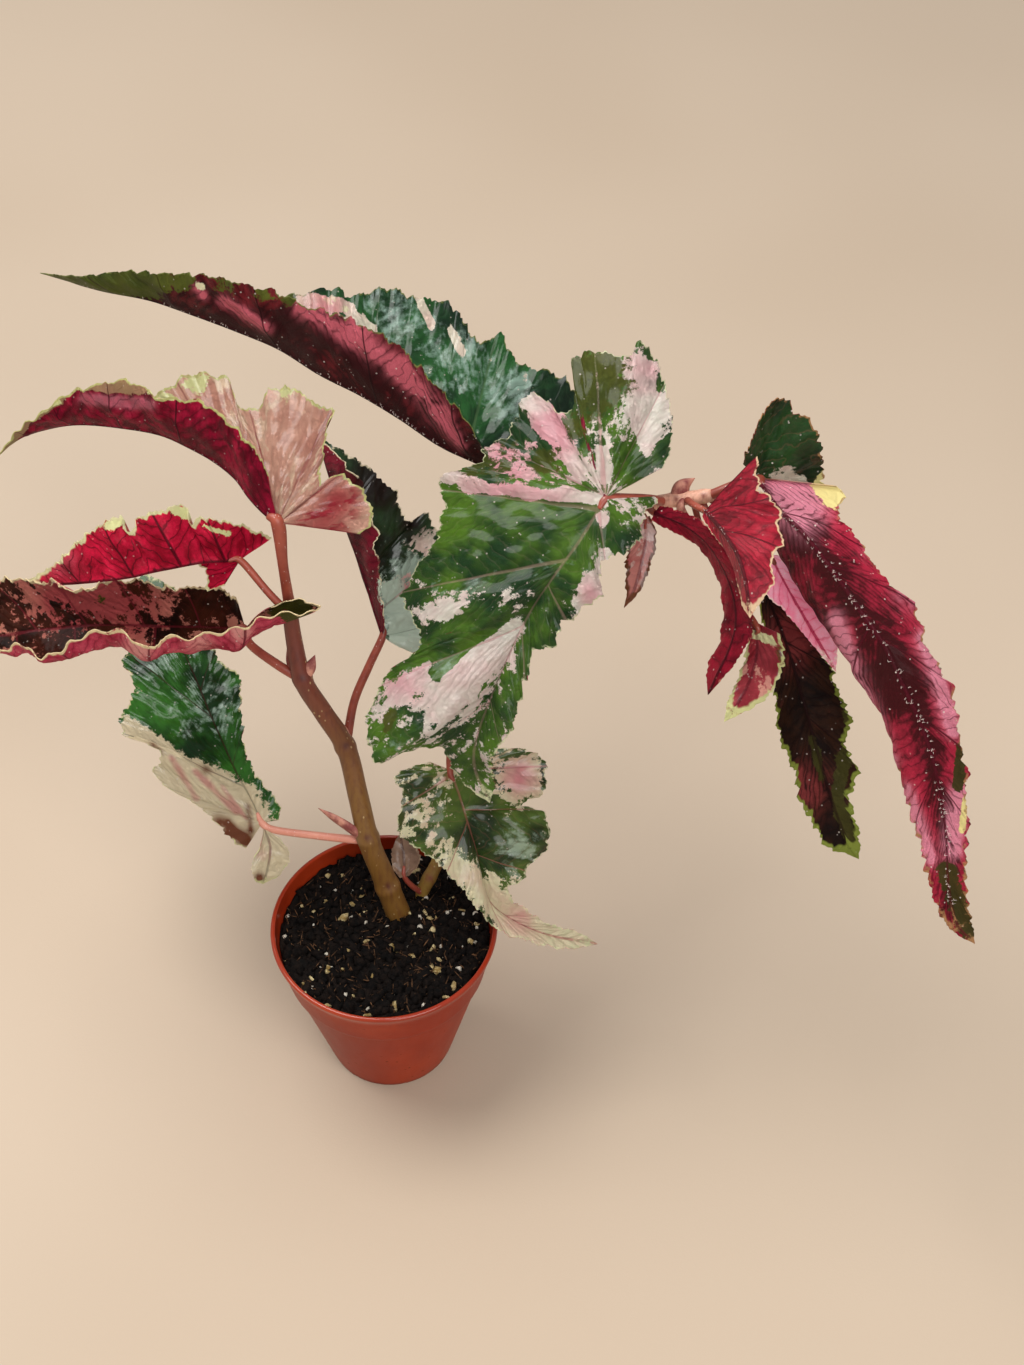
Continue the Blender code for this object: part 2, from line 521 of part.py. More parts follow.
LEAVES = {
    "leaf_broad_middle": {
        "colour": (0.16, 0.30, 0.10), "cane": "side",
        "stalk": [(665, 502, 318, 2.3), (650, 499, 327, 2.2),
                  (630, 498, 331, 2.2), (607, 499, 334, 2.3)],
        "midrib": [(606, 498, 335), (580, 540, 322), (553, 577, 308),
                   (530, 612, 290), (500, 675, 262), (478, 735, 232),
                   (475, 768, 213), (490, 803, 194)],
        "left": [(655, 497, 329, 0), (657, 502, 328, 0), (645, 510, 327, 0),
                 (640, 528, 324, 0), (637, 543, 321, 0), (620, 552, 317, 0),
                 (600, 563, 313, .1),
                 (600, 588, 304, .2), (594, 601, 299, .25),
                 (580, 606, 295, .3), (574, 618, 290, .35),
                 (560, 622, 288, .38), (553, 645, 280, .42),
                 (532, 650, 274, .48), (528, 668, 268, .5),
                 (520, 692, 258, .58), (514, 712, 250, .64),
                 (510, 732, 243, .7), (498, 746, 232, .77),
                 (491, 762, 221, .85), (494, 783, 206, .93)],
        "right": [(663, 468, 344, 0),
                  (669, 450, 348, 0), (671, 420, 356, 0), (664, 385, 366, 0),
                  (655, 362, 372, 0), (640, 343, 379, 0), (628, 360, 374, 0),
                  (612, 355, 375, 0), (595, 353, 374, 0), (573, 360, 370, 0),
                  (581, 380, 364, 0), (578, 400, 358, 0), (563, 415, 352, 0),
                  (548, 402, 352, 0), (532, 394, 352, 0), (520, 415, 344, 0),
                  (508, 437, 338, 0), (485, 446, 335, 0), (483, 462, 331, 0),
                  (465, 470, 329, 0), (443, 478, 328, .03),
                  (442, 490, 322, .06), (447, 503, 318, .08),
                  (443, 520, 312, .12), (436, 545, 304, .15),
                  (422, 560, 298, .2), (408, 585, 290, .25),
                  (404, 600, 284, .3), (415, 618, 280, .33),
                  (423, 635, 274, .36), (422, 652, 268, .4),
                  (405, 664, 263, .45), (386, 675, 259, .5),
                  (376, 697, 253, .55), (368, 718, 247, .58),
                  (370, 740, 239, .62), (378, 761, 231, .68),
                  (392, 753, 229, .72), (420, 748, 226, .78),
                  (444, 748, 220, .84), (453, 766, 211, .9),
                  (471, 789, 200, .96)],
        "ribs": 13, "fans": (4, 16), "rings": 3, "teeth": 2.2, "puff": 4,
        "veins": {"left": (.22, .42, .62, .8),
                  "right": (.09, .2, .31, .41, .5, .62, .75, .88)},
        "belly": (.04, .04), "wave": 1.5, "waves": 6},
    "leaf_long_back": {
        "colour": (0.10, 0.26, 0.13), "cane": "side",
        "stalk": [(527, 627, 233, 2.2), (528, 560, 264, 2.1),
                  (512, 485, 293, 2)],
        "midrib": [(512, 484, 294), (480, 464, 304), (440, 445, 313),
                   (400, 418, 322), (360, 394, 331), (320, 374, 338),
                   (280, 349, 343), (240, 332, 347), (200, 317, 349),
                   (150, 300, 350), (100, 290, 347), (40, 273, 340)],
        "left": [(482, 450, 322, 0), (468, 430, 334, .05), (450, 401, 346, .13),
                 (425, 376, 355, .2), (400, 352, 364, .28),
                 (370, 331, 371, .35), (340, 316, 375, .42),
                 (300, 307, 377, .5), (270, 293, 379, .57),
                 (220, 279, 379, .67), (180, 277, 374, .75),
                 (130, 272, 367, .83), (80, 277, 356, .91)],
        "right": [(524, 482, 292, 0), (560, 450, 302, 0), (580, 410, 312, 0),
                  (560, 379, 322, .02), (518, 365, 328, .08),
                  (500, 335, 336, .13), (478, 343, 336, .17),
                  (450, 308, 344, .25), (415, 300, 348, .32),
                  (385, 288, 351, .38), (352, 297, 350, .44),
                  (330, 291, 353, .48), (295, 298, 350, .54),
                  (250, 296, 344, .62), (200, 291, 341, .71),
                  (140, 284, 340, .82), (90, 280, 338, .9)],
        "ribs": 20, "fans": (1, 6), "rings": 3, "teeth": 2.6, "puff": 3,
        "veins": {"left": (.1, .3, .5, .7, .85),
                  "right": (.1, .3, .5, .7, .85)},
        "belly": (-.1, -.08), "wave": 1, "waves": 5},
    "leaf_over_rim": {
        "colour": (0.30, 0.38, 0.18), "cane": "side",
        "stalk": [(495, 722, 184, 2.2), (474, 722, 195, 2),
                  (453, 742, 197, 1.9), (450, 771, 188, 1.8)],
        "midrib": [(450, 770, 188), (459, 795, 180), (468, 825, 168),
                   (476, 852, 155), (483, 882, 140), (496, 909, 127),
                   (541, 933, 115), (598, 944, 106)],
        "left": [(480, 752, 196, 0), (500, 747, 196, 0),
                 (522, 749, 193, 0), (541, 758, 188, 0), (545, 772, 183, 0),
                 (541, 794, 175, .05), (526, 799, 173, .1),
                 (519, 806, 170, .15), (530, 808, 168, .2),
                 (545, 817, 166, .25), (547, 835, 159, .32),
                 (544, 852, 153, .38), (530, 863, 149, .42),
                 (520, 882, 143, .47), (508, 886, 142, .52),
                 (513, 901, 133, .6), (530, 913, 126, .7), (550, 925, 119, .8),
                 (577, 932, 113, .9)],
        "right": [(430, 762, 192, 0), (410, 768, 191, 0),
                  (395, 777, 189, 0), (403, 793, 184, 0), (400, 812, 178, .05),
                  (399, 832, 172, .1), (416, 847, 166, .16),
                  (434, 859, 160, .22), (452, 877, 153, .3),
                  (466, 893, 146, .38), (476, 908, 140, .46),
                  (486, 920, 134, .54), (500, 930, 129, .62),
                  (522, 939, 122, .72), (547, 946, 116, .81),
                  (573, 948, 110, .9)],
        "ribs": 15, "fans": (5, 3), "rings": 3, "teeth": 1.8, "puff": 3,
        "veins": {"left": (.2, .4, .6, .8), "right": (.2, .45, .7)},
        "belly": (.05, .05), "wave": 1, "waves": 5},
    "leaf_low_left": {
        "colour": (0.14, 0.32, 0.12), "cane": "main",
        "stalk": [(369, 841, 150, 2.3), (320, 836, 148, 2.1),
                  (275, 830, 146, 2), (262, 823, 147, 1.9)],
        "midrib": [(262, 823, 147), (250, 797, 153), (236, 772, 160),
                   (215, 725, 170), (196, 680, 180), (176, 635, 188),
                   (158, 600, 194), (143, 572, 198)],
        "left": [(246, 848, 136, 0), (234, 840, 140, 0),
                 (215, 820, 147, 0), (195, 803, 151, 0), (165, 786, 155, 0),
                 (154, 768, 158, .02), (163, 763, 162, .06),
                 (156, 750, 166, .1), (128, 737, 168, .18),
                 (121, 717, 171, .25), (133, 700, 175, .32),
                 (134, 680, 179, .4), (122, 662, 182, .48),
                 (130, 652, 184, .52), (138, 625, 188, .66),
                 (134, 596, 193, .82)],
        "right": [(279, 820, 148, 0), (278, 804, 152, .01),
                  (266, 789, 157, .06), (256, 776, 161, .12),
                  (248, 760, 165, .2), (242, 738, 170, .28),
                  (241, 710, 177, .38), (241, 682, 183, .48),
                  (232, 670, 186, .52), (222, 665, 187, .56),
                  (213, 650, 190, .62), (202, 620, 194, .75),
                  (178, 592, 197, .9)],
        "ribs": 12, "fans": (5, 2), "rings": 3, "teeth": 1.8, "puff": 3,
        "veins": {"left": (.25, .5, .75), "right": (.3, .6)},
        "belly": (.04, .04), "wave": 1, "waves": 5,
        "flap": {
            "midrib": [(264, 829, 146), (270, 846, 147), (268, 865, 140),
                       (263, 884, 132)],
            "left": [(280, 838, 146, 0), (289, 855, 141, .4),
                     (281, 873, 134, .75)],
            "right": [(260, 846, 149, 0), (252, 866, 143, .45),
                      (255, 880, 136, .8)],
            "ribs": 6, "fans": (1, 1), "rings": 2, "teeth": .8, "puff": 0,
            "veins": {"left": (), "right": ()},
            "belly": (.1, .1), "wave": 1, "waves": 3}},
    "leaf_folded_middle": {
        "colour": (0.12, 0.25, 0.13), "cane": "main",
        "stalk": [(346, 747, 202, 2.4), (354, 702, 222, 2.2),
                  (369, 666, 237, 2.1), (383, 635, 250, 1.9)],
        "midrib": [(383, 636, 250), (371, 600, 262), (358, 560, 276),
                   (347, 530, 286), (337, 500, 296), (326, 465, 306),
                   (318, 436, 312)],
        "left": [(385, 628, 256, 0), (382, 605, 270, .1), (377, 575, 283, .3),
                 (375, 545, 296, .45), (371, 515, 306, .6),
                 (360, 487, 313, .75), (342, 462, 317, .88)],
        "right": [(390, 642, 248, 0), (404, 649, 245, 0), (420, 652, 243, 0),
                  (436, 630, 246, 0), (444, 590, 254, .08),
                  (443, 560, 262, .16), (438, 536, 269, .26),
                  (424, 515, 275, .34), (408, 523, 276, .4),
                  (399, 512, 281, .46), (394, 492, 288, .54),
                  (380, 482, 294, .62), (370, 470, 299, .7),
                  (355, 460, 305, .8), (336, 448, 309, .9)],
        "ribs": 12, "fans": (1, 4), "rings": 3, "teeth": 2.2, "puff": 3,
        "veins": {"left": (.5,), "right": (.2, .4, .6, .8)},
        "belly": (-.1, -.05), "wave": 1, "waves": 5},
    "leaf_boat_left": {
        "colour": (0.13, 0.14, 0.07), "cane": "main",
        "stalk": [(303, 680, 247, 2.6), (275, 663, 253, 2.4),
                  (250, 644, 257, 2.2), (244, 628, 262, 2)],
        "midrib": [(245, 629, 262), (200, 627, 264), (150, 626, 267),
                   (100, 625, 269), (50, 629, 267), (0, 636, 261),
                   (-32, 641, 255)],
        "left": [(272, 607, 290, 0), (296, 598, 301, 0),
                 (319, 607, 301, 0), (307, 614, 303, 0), (284, 615, 303, .02),
                 (263, 620, 299, .05), (243, 627, 293, .1),
                 (215, 632, 288, .2), (190, 640, 286, .28),
                 (165, 640, 287, .36), (145, 648, 287, .42),
                 (128, 634, 292, .48), (108, 631, 292, .55),
                 (85, 638, 288, .63), (60, 650, 283, .7), (40, 657, 279, .77),
                 (20, 645, 279, .84), (0, 652, 268, .92)],
        "right": [(238, 604, 270, 0),
                  (232, 596, 278, .06), (215, 588, 285, .12),
                  (190, 587, 289, .2), (165, 588, 290, .28),
                  (145, 582, 293, .35), (120, 580, 295, .43),
                  (98, 583, 295, .5), (80, 592, 292, .56), (55, 583, 293, .64),
                  (30, 581, 290, .72), (0, 580, 284, .8), (-20, 597, 274, .9)],
        "ribs": 14, "fans": (4, 1), "rings": 3, "teeth": 2, "puff": 2,
        "veins": {"left": (.3, .5, .7, .85), "right": (.2, .4, .6, .8)},
        "belly": (-.28, -.12), "wave": .8, "waves": 5},
    "leaf_top_left": {
        "colour": (0.62, 0.42, 0.34), "cane": "main",
        "stalk": [(289, 602, 289, 2.8), (283, 565, 314, 2.5),
                  (278, 524, 337, 3.4)],
        "midrib": [(278, 523, 338), (264, 512, 341), (250, 497, 344),
                   (236, 478, 347), (215, 461, 349), (190, 447, 350),
                   (160, 434, 349), (120, 427, 345), (80, 424, 338),
                   (50, 428, 329), (20, 438, 318), (0, 454, 309),
                   (-10, 464, 304)],
        "left": [(268, 474, 360, 0), (256, 453, 369, .14),
                 (245, 440, 374, .2), (230, 423, 378, .26),
                 (210, 408, 381, .33), (190, 401, 380, .4),
                 (160, 397, 379, .48), (140, 387, 379, .55),
                 (115, 382, 375, .62), (90, 386, 368, .69),
                 (65, 397, 357, .76), (40, 413, 344, .84), (18, 432, 330, .92)],
        "right": [(360, 534, 335, 0), (372, 520, 340, 0),
                  (366, 497, 347, 0), (352, 482, 352, 0), (335, 475, 354, 0),
                  (322, 484, 351, 0), (320, 469, 354, 0), (325, 453, 358, 0),
                  (326, 432, 363, 0), (333, 411, 368, 0), (315, 404, 369, 0),
                  (300, 393, 368, 0), (285, 388, 367, 0), (271, 393, 363, 0),
                  (262, 406, 357, 0), (248, 411, 353, 0), (236, 402, 353, .05),
                  (229, 380, 356, .1), (210, 376, 356, .16),
                  (190, 376, 355, .22), (170, 388, 352, .29),
                  (145, 400, 347, .38), (105, 402, 340, .55),
                  (65, 409, 333, .68), (28, 429, 319, .85)],
        "ribs": 15, "fans": (0, 13), "rings": 3, "teeth": 1.8, "puff": 1,
        "veins": {"left": (.3, .5, .7, .85),
                  "right": (.12, .28, .45, .62, .8)},
        "belly": (-.1, -.08), "wave": 1, "waves": 5},
    "leaf_red_left": {
        "colour": (0.50, 0.05, 0.09), "cane": "main",
        "stalk": [(292, 617, 281, 2.1), (268, 592, 289, 1.9),
                  (241, 561, 300, 1.8)],
        "midrib": [(240, 560, 300), (215, 561, 303), (190, 564, 305),
                   (160, 570, 305), (130, 577, 302), (100, 581, 297),
                   (60, 584, 287), (22, 583, 276)],
        "left": [(272, 538, 309, 0), (252, 531, 315, 0),
                 (235, 525, 320, .03), (205, 519, 325, .1),
                 (190, 525, 324, .15), (180, 506, 331, .2),
                 (160, 512, 330, .28), (139, 518, 328, .38),
                 (128, 534, 321, .43), (118, 518, 326, .48),
                 (100, 526, 321, .55), (80, 540, 312, .65), (58, 562, 297, .8),
                 (38, 575, 284, .9)],
        "right": [(224, 586, 289, 0), (207, 588, 288, 0),
                  (207, 572, 294, .03), (190, 560, 295, .12),
                  (165, 556, 293, .25), (130, 560, 291, .4),
                  (100, 566, 286, .55), (70, 575, 277, .72),
                  (45, 580, 270, .86)],
        "ribs": 13, "fans": (4, 3), "rings": 3, "teeth": 2, "puff": 3,
        "veins": {"left": (.2, .4, .6, .8), "right": (.3, .6)},
        "belly": (-.05, -.08), "wave": 1, "waves": 5},
    "leaf_long_right": {
        "colour": (0.42, 0.06, 0.10), "cane": "side",
        "stalk": [(708, 496, 327, 2.4), (730, 487, 333, 2.4),
                  (757, 478, 337, 2.8)],
        "midrib": [(757, 478, 338), (778, 508, 343), (804, 534, 344),
                   (832, 570, 340), (860, 610, 331), (884, 645, 319),
                   (903, 685, 304), (920, 722, 288), (933, 760, 272),
                   (941, 800, 254), (946, 840, 236), (948, 885, 217),
                   (956, 922, 201), (975, 944, 192)],
        "left": [(743, 464, 346, 0), (750, 444, 357, 0),
                 (762, 414, 371, 0), (780, 397, 375, 0), (794, 412, 371, 0),
                 (812, 424, 367, 0), (820, 448, 356, 0), (821, 472, 340, 0),
                 (818, 520, 318, .08), (828, 570, 304, .18),
                 (848, 615, 292, .3), (868, 662, 282, .42),
                 (885, 712, 272, .52), (900, 762, 259, .62),
                 (911, 808, 245, .72), (920, 838, 235, .78),
                 (927, 868, 225, .84), (936, 902, 211, .9),
                 (952, 930, 198, .96)],
        "right": [(836, 486, 351, 0),
                  (843, 495, 349, 0), (836, 515, 346, .06),
                  (852, 532, 342, .13), (870, 560, 336, .2),
                  (893, 589, 328, .28), (912, 605, 322, .34),
                  (925, 640, 313, .42), (941, 670, 302, .5),
                  (953, 700, 291, .57), (960, 745, 274, .66),
                  (967, 777, 262, .7), (964, 795, 255, .73),
                  (967, 822, 245, .78), (964, 860, 229, .84),
                  (966, 902, 212, .91), (972, 927, 199, .96)],
        "ribs": 17, "fans": (6, 3), "rings": 4, "teeth": 2.4, "puff": 2.5,
        "veins": {"left": (.4, .6, .8), "right": (.15, .3, .45, .6, .75, .88)},
        "belly": (-.32, -.1), "wave": 1, "waves": 5},
    "leaf_red_right": {
        "colour": (0.55, 0.06, 0.12), "cane": "side",
        "stalk": [(686, 499, 322, 1.9), (694, 505, 330, 1.7),
                  (705, 511, 333, 1.6)],
        "midrib": [(705, 511, 334), (722, 530, 345), (738, 556, 347),
                   (746, 585, 341), (750, 618, 330)],
        "left": [(702, 517, 334, 0), (711, 531, 336, .1), (723, 547, 337, .22),
                 (733, 564, 336, .45), (738, 585, 333, .7),
                 (742, 603, 331, .88)],
        "right": [(757, 456, 362, 0), (756, 474, 360, 0),
                  (758, 491, 359, .04), (771, 498, 358, .12),
                  (778, 509, 356, .22), (777, 522, 355, .32),
                  (782, 543, 351, .45), (771, 558, 348, .56),
                  (773, 583, 341, .74), (762, 599, 336, .87)],
        "ribs": 9, "fans": (1, 6), "rings": 3, "teeth": 1.4, "puff": 2,
        "veins": {"left": (.5,), "right": (.3, .6)},
        "belly": (-.1, -.1), "wave": .8, "waves": 5},
    "leaf_hanging_right": {
        "colour": (0.16, 0.10, 0.06), "cane": "side",
        "stalk": [(700, 497, 325, 1.9), (723, 547, 305, 1.8),
                  (765, 593, 289, 1.7)],
        "midrib": [(765, 592, 290), (785, 640, 277), (803, 700, 256),
                   (817, 750, 238), (832, 800, 221), (847, 840, 206),
                   (859, 859, 198)],
        "left": [(759, 603, 288, 0), (766, 632, 279, .06), (774, 665, 267, .2),
                 (777, 705, 252, .35), (781, 738, 240, .48),
                 (797, 775, 228, .6), (802, 803, 218, .7), (815, 825, 210, .8),
                 (828, 847, 203, .9), (843, 852, 200, .96)],
        "right": [(775, 596, 291, 0), (800, 628, 281, .1), (820, 650, 273, .2),
                  (837, 690, 260, .35), (850, 722, 248, .48),
                  (844, 742, 242, .55), (856, 772, 232, .66),
                  (849, 800, 222, .76), (858, 834, 210, .88)],
        "ribs": 13, "fans": (1, 1), "rings": 3, "teeth": 2.4, "puff": 2.5,
        "veins": {"left": (.3, .6), "right": (.3, .6)},
        "belly": (-.06, -.06), "wave": 1.2, "waves": 5},
    "leaf_pink_right": {
        "colour": (0.80, 0.25, 0.38), "cane": "side",
        "stalk": [(706, 496, 326, 1.7), (738, 519, 316, 1.5),
                  (770, 557, 308, 1.4)],
        "midrib": [(770, 556, 308), (790, 592, 298), (812, 630, 286),
                   (836, 672, 272)],
        "left": [(765, 563, 306, 0), (763, 590, 299, .15), (783, 609, 293, .4),
                 (808, 639, 282, .7)],
        "right": [(778, 555, 308, 0), (798, 578, 304, .3),
                  (818, 607, 296, .55), (836, 640, 284, .8)],
        "ribs": 8, "fans": (1, 1), "rings": 2, "teeth": .8, "puff": 0,
        "veins": {"left": (), "right": ()},
        "belly": (-.05, -.05), "wave": .5, "waves": 3},
    "leaf_strap_right": {
        "colour": (0.40, 0.04, 0.08), "cane": "side",
        "stalk": [(650, 505, 315, 1.8), (651, 510, 318, 1.7),
                  (655, 513, 321, 1.6)],
        "midrib": [(655, 513, 322), (680, 522, 324), (704, 539, 324),
                   (721, 562, 320), (733, 591, 312), (737, 621, 302),
                   (730, 650, 291), (716, 678, 280), (708, 695, 270)],
        "left": [(651, 520, 318, 0), (670, 530, 318, .1), (690, 540, 316, .22),
                 (704, 552, 314, .33), (714, 568, 309, .42),
                 (721, 590, 304, .52), (724, 610, 298, .6),
                 (720, 640, 287, .74), (708, 668, 277, .88)],
        "right": [(660, 506, 324, 0), (682, 512, 330, .1),
                  (704, 523, 333, .24), (723, 546, 331, .35),
                  (739, 573, 326, .47), (751, 610, 314, .6),
                  (750, 636, 303, .72), (734, 664, 289, .86)],
        "ribs": 11, "fans": (1, 1), "rings": 2, "teeth": 1.2, "puff": 0,
        "veins": {"left": (), "right": ()},
        "belly": (-.08, -.08), "wave": .5, "waves": 3},
    "leaf_young_middle": {
        "colour": (0.62, 0.28, 0.22), "cane": "side",
        "stalk": [(630, 509, 311, 1.7), (644, 516, 313, 1.4)],
        "midrib": [(644, 517, 314), (646, 535, 309), (641, 565, 299),
                   (634, 590, 291), (624, 608, 284)],
        "left": [(650, 516, 314, 0), (656, 537, 308, .2), (651, 562, 300, .45),
                 (640, 590, 290, .75)],
        "right": [(638, 518, 313, 0), (630, 543, 305, .2), (626, 568, 297, .5),
                  (627, 592, 289, .8)],
        "ribs": 9, "fans": (1, 1), "rings": 2, "teeth": 2, "puff": 0,
        "veins": {"left": (), "right": ()},
        "belly": (-.05, -.05), "wave": .8, "waves": 3},
    "leaf_young_right": {
        "colour": (0.60, 0.15, 0.16), "cane": "side",
        "stalk": [(692, 498, 323, 1.6), (712, 560, 300, 1.5),
                  (755, 623, 301, 1.4)],
        "midrib": [(755, 622, 302), (757, 650, 289), (750, 680, 278),
                   (737, 705, 270), (724, 722, 264)],
        "left": [(780, 634, 299, 0), (783, 662, 287, .2),
                 (772, 690, 278, .45), (756, 705, 272, .7)],
        "right": [(748, 626, 300, 0), (747, 650, 287, .2),
                  (740, 675, 278, .45), (729, 700, 270, .75)],
        "ribs": 9, "fans": (2, 1), "rings": 2, "teeth": 1.8, "puff": 0,
        "veins": {"left": (), "right": ()},
        "belly": (-.05, -.05), "wave": 1.2, "waves": 4},
    "sprout_low": {
        "colour": (0.42, 0.32, 0.28), "cane": "side",
        "stalk": [(422, 893, 98, 1.7), (411, 885, 109, 1.5),
                  (404, 876, 117, 1.3)],
        "midrib": [(404, 877, 117), (404, 860, 124), (402, 845, 130),
                   (400, 834, 134)],
        "left": [(400, 878, 118, 0), (393, 868, 122, .1), (392, 855, 127, .4),
                 (395, 842, 132, .75)],
        "right": [(409, 876, 118, 0), (419, 863, 123, .1), (418, 850, 128, .4),
                  (411, 839, 133, .75)],
        "ribs": 6, "fans": (1, 1), "rings": 2, "teeth": .6, "puff": 0,
        "veins": {"left": (), "right": ()},
        "belly": (-.15, -.15), "wave": .4, "waves": 2},
}


def build_cane(name, line, stipules, colour):
    """A cane with the pointed stipules at its joints."""
    cane = tube(name, line, CANE_SIDES, CANE_STEPS,
                mat=material(name, colour, 0.5))
    for points in stipules:
        stipule = tube("stipule", points, STIPULE_SIDES, STIPULE_STEPS)
        combine(cane, stipule, "UNION")
    return cane


def closed(obj):
    """True if every edge of the solid has exactly two faces."""
    bm = bmesh.new()
    bm.from_mesh(obj.data)
    good = all(len(edge.link_faces) == 2 for edge in bm.edges)
    bm.free()
    return good


def build_leaf(name, leaf, canes):
    """Blade and stalk in one solid, trimmed clear of the cane. The stalk runs
    on under the midrib, as far as gives a sound joint."""
    mat = material(name, leaf["colour"], 0.4)
    start, ahead = leaf["midrib"][:2]
    length = math.dist(sight(start), sight(ahead))
    cane = canes[leaf["cane"]]
    for run in STALK_RUNS:
        end = [a + (b - a) * run / length for a, b in zip(start, ahead)]
        end.append(leaf["stalk"][-1][3])
        solid = blade(name, leaf, mat)
        if "flap" in leaf:
            combine(solid, blade("flap", leaf["flap"], mat), "UNION", True)
        stalk = tube("stalk", leaf["stalk"] + [end], STALK_SIDES,
                     STALK_STEPS)
        combine(solid, stalk, "UNION", True)
        seat = tube("seat", cane["line"], CANE_SIDES, CANE_STEPS, GAP)
        combine(solid, seat, "DIFFERENCE")
        for points in cane["stipules"]:
            seat = tube("seat", points, STIPULE_SIDES, STIPULE_STEPS, GAP)
            combine(solid, seat, "DIFFERENCE")
        keep_largest(solid)
        if closed(solid):
            return solid
        bpy.data.objects.remove(solid)
    raise ValueError(name + " has a bad joint")


def main():
    for obj in list(bpy.data.objects):
        bpy.data.objects.remove(obj)
    canes = {"main": {"line": MAIN_CANE, "stipules": MAIN_STIPULES},
             "side": {"line": SIDE_CANE, "stipules": SIDE_STIPULES}}
    build_pot(material("pot", (0.62, 0.20, 0.10), 0.35))
    build_soil(material("soil", (0.03, 0.022, 0.018), 0.95), canes.values())
    build_cane("main_cane", MAIN_CANE, MAIN_STIPULES, (0.28, 0.16, 0.05))
    build_cane("side_cane", SIDE_CANE, SIDE_STIPULES, (0.33, 0.24, 0.08))
    for name, leaf in LEAVES.items():
        build_leaf(name, leaf, canes)
    for obj in bpy.data.objects:
        obj.data.shade_smooth()
        obj.data.set_sharp_from_angle(angle=SHARP_ANGLE)


main()
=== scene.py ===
# Potted begonia: fine shapes and finishes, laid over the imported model.
import math

import bmesh
import bpy
import numpy as np
from mathutils import Matrix, Vector


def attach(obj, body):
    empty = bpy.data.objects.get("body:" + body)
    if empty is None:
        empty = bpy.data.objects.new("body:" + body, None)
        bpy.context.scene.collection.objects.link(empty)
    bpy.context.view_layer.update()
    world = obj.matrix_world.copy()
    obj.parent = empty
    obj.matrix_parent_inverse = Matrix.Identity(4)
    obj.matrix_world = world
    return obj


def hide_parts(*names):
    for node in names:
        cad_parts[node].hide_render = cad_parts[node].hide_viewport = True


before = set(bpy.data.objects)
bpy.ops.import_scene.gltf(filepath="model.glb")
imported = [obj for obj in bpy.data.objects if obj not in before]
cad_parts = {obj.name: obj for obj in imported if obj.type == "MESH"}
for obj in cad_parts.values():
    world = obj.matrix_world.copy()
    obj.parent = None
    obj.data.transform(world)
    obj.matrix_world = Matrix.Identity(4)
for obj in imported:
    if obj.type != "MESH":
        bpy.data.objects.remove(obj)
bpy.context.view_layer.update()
print("frame loaded:", len(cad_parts), "nodes")

mm = 0.001


# shader and geometry helpers

class Wire:
    # A socket that Python's own operators work on.
    def __init__(self, graph, socket):
        self.graph = graph
        self.socket = socket

    def also(self, out):  # another output of the same node
        return Wire(self.graph, self.socket.node.outputs[out])

    def maths(self, operation, a, b=0.0, clamp=False):
        settings = {"operation": operation, "use_clamp": clamp}
        return self.graph.node("ShaderNodeMath", settings, {0: a, 1: b})

    def __add__(self, other):
        return self.maths("ADD", self, other)

    def __radd__(self, other):
        return self.maths("ADD", other, self)

    def __sub__(self, other):
        return self.maths("SUBTRACT", self, other)

    def __rsub__(self, other):
        return self.maths("SUBTRACT", other, self)

    def __mul__(self, other):
        return self.maths("MULTIPLY", self, other)

    def __rmul__(self, other):
        return self.maths("MULTIPLY", other, self)

    def __truediv__(self, other):
        return self.maths("DIVIDE", self, other)

    def __abs__(self):
        return self.maths("ABSOLUTE", self)

    def most(self, other):
        return self.maths("MAXIMUM", self, other)

    def fract(self):
        return self.maths("FRACT", self)

    def clip(self):
        return self.maths("ADD", self, 0.0, True)

    def fade(self, low, high):  # 0 at low and 1 at high, smooth between
        return self.graph.node("ShaderNodeMapRange",
                               {"interpolation_type": "SMOOTHSTEP"},
                               {"Value": self, "From Min": low, "From Max": high})


class Graph:
    # A node tree: node() adds any node, fed with values or Wires.
    def __init__(self, tree):
        self.tree = tree

    def node(self, kind, settings=None, inputs=None, out=0):
        made = self.tree.nodes.new(kind)
        for key, value in (settings or {}).items():
            setattr(made, key, value)
        for key, value in (inputs or {}).items():
            self.feed(made.inputs[key], value)
        return Wire(self, made.outputs[out])

    def feed(self, socket, value):
        if isinstance(value, Wire):
            self.tree.links.new(value.socket, socket)
        else:
            socket.default_value = value

    def join(self, x, y, z):
        return self.node("ShaderNodeCombineXYZ", {}, {0: x, 1: y, 2: z})


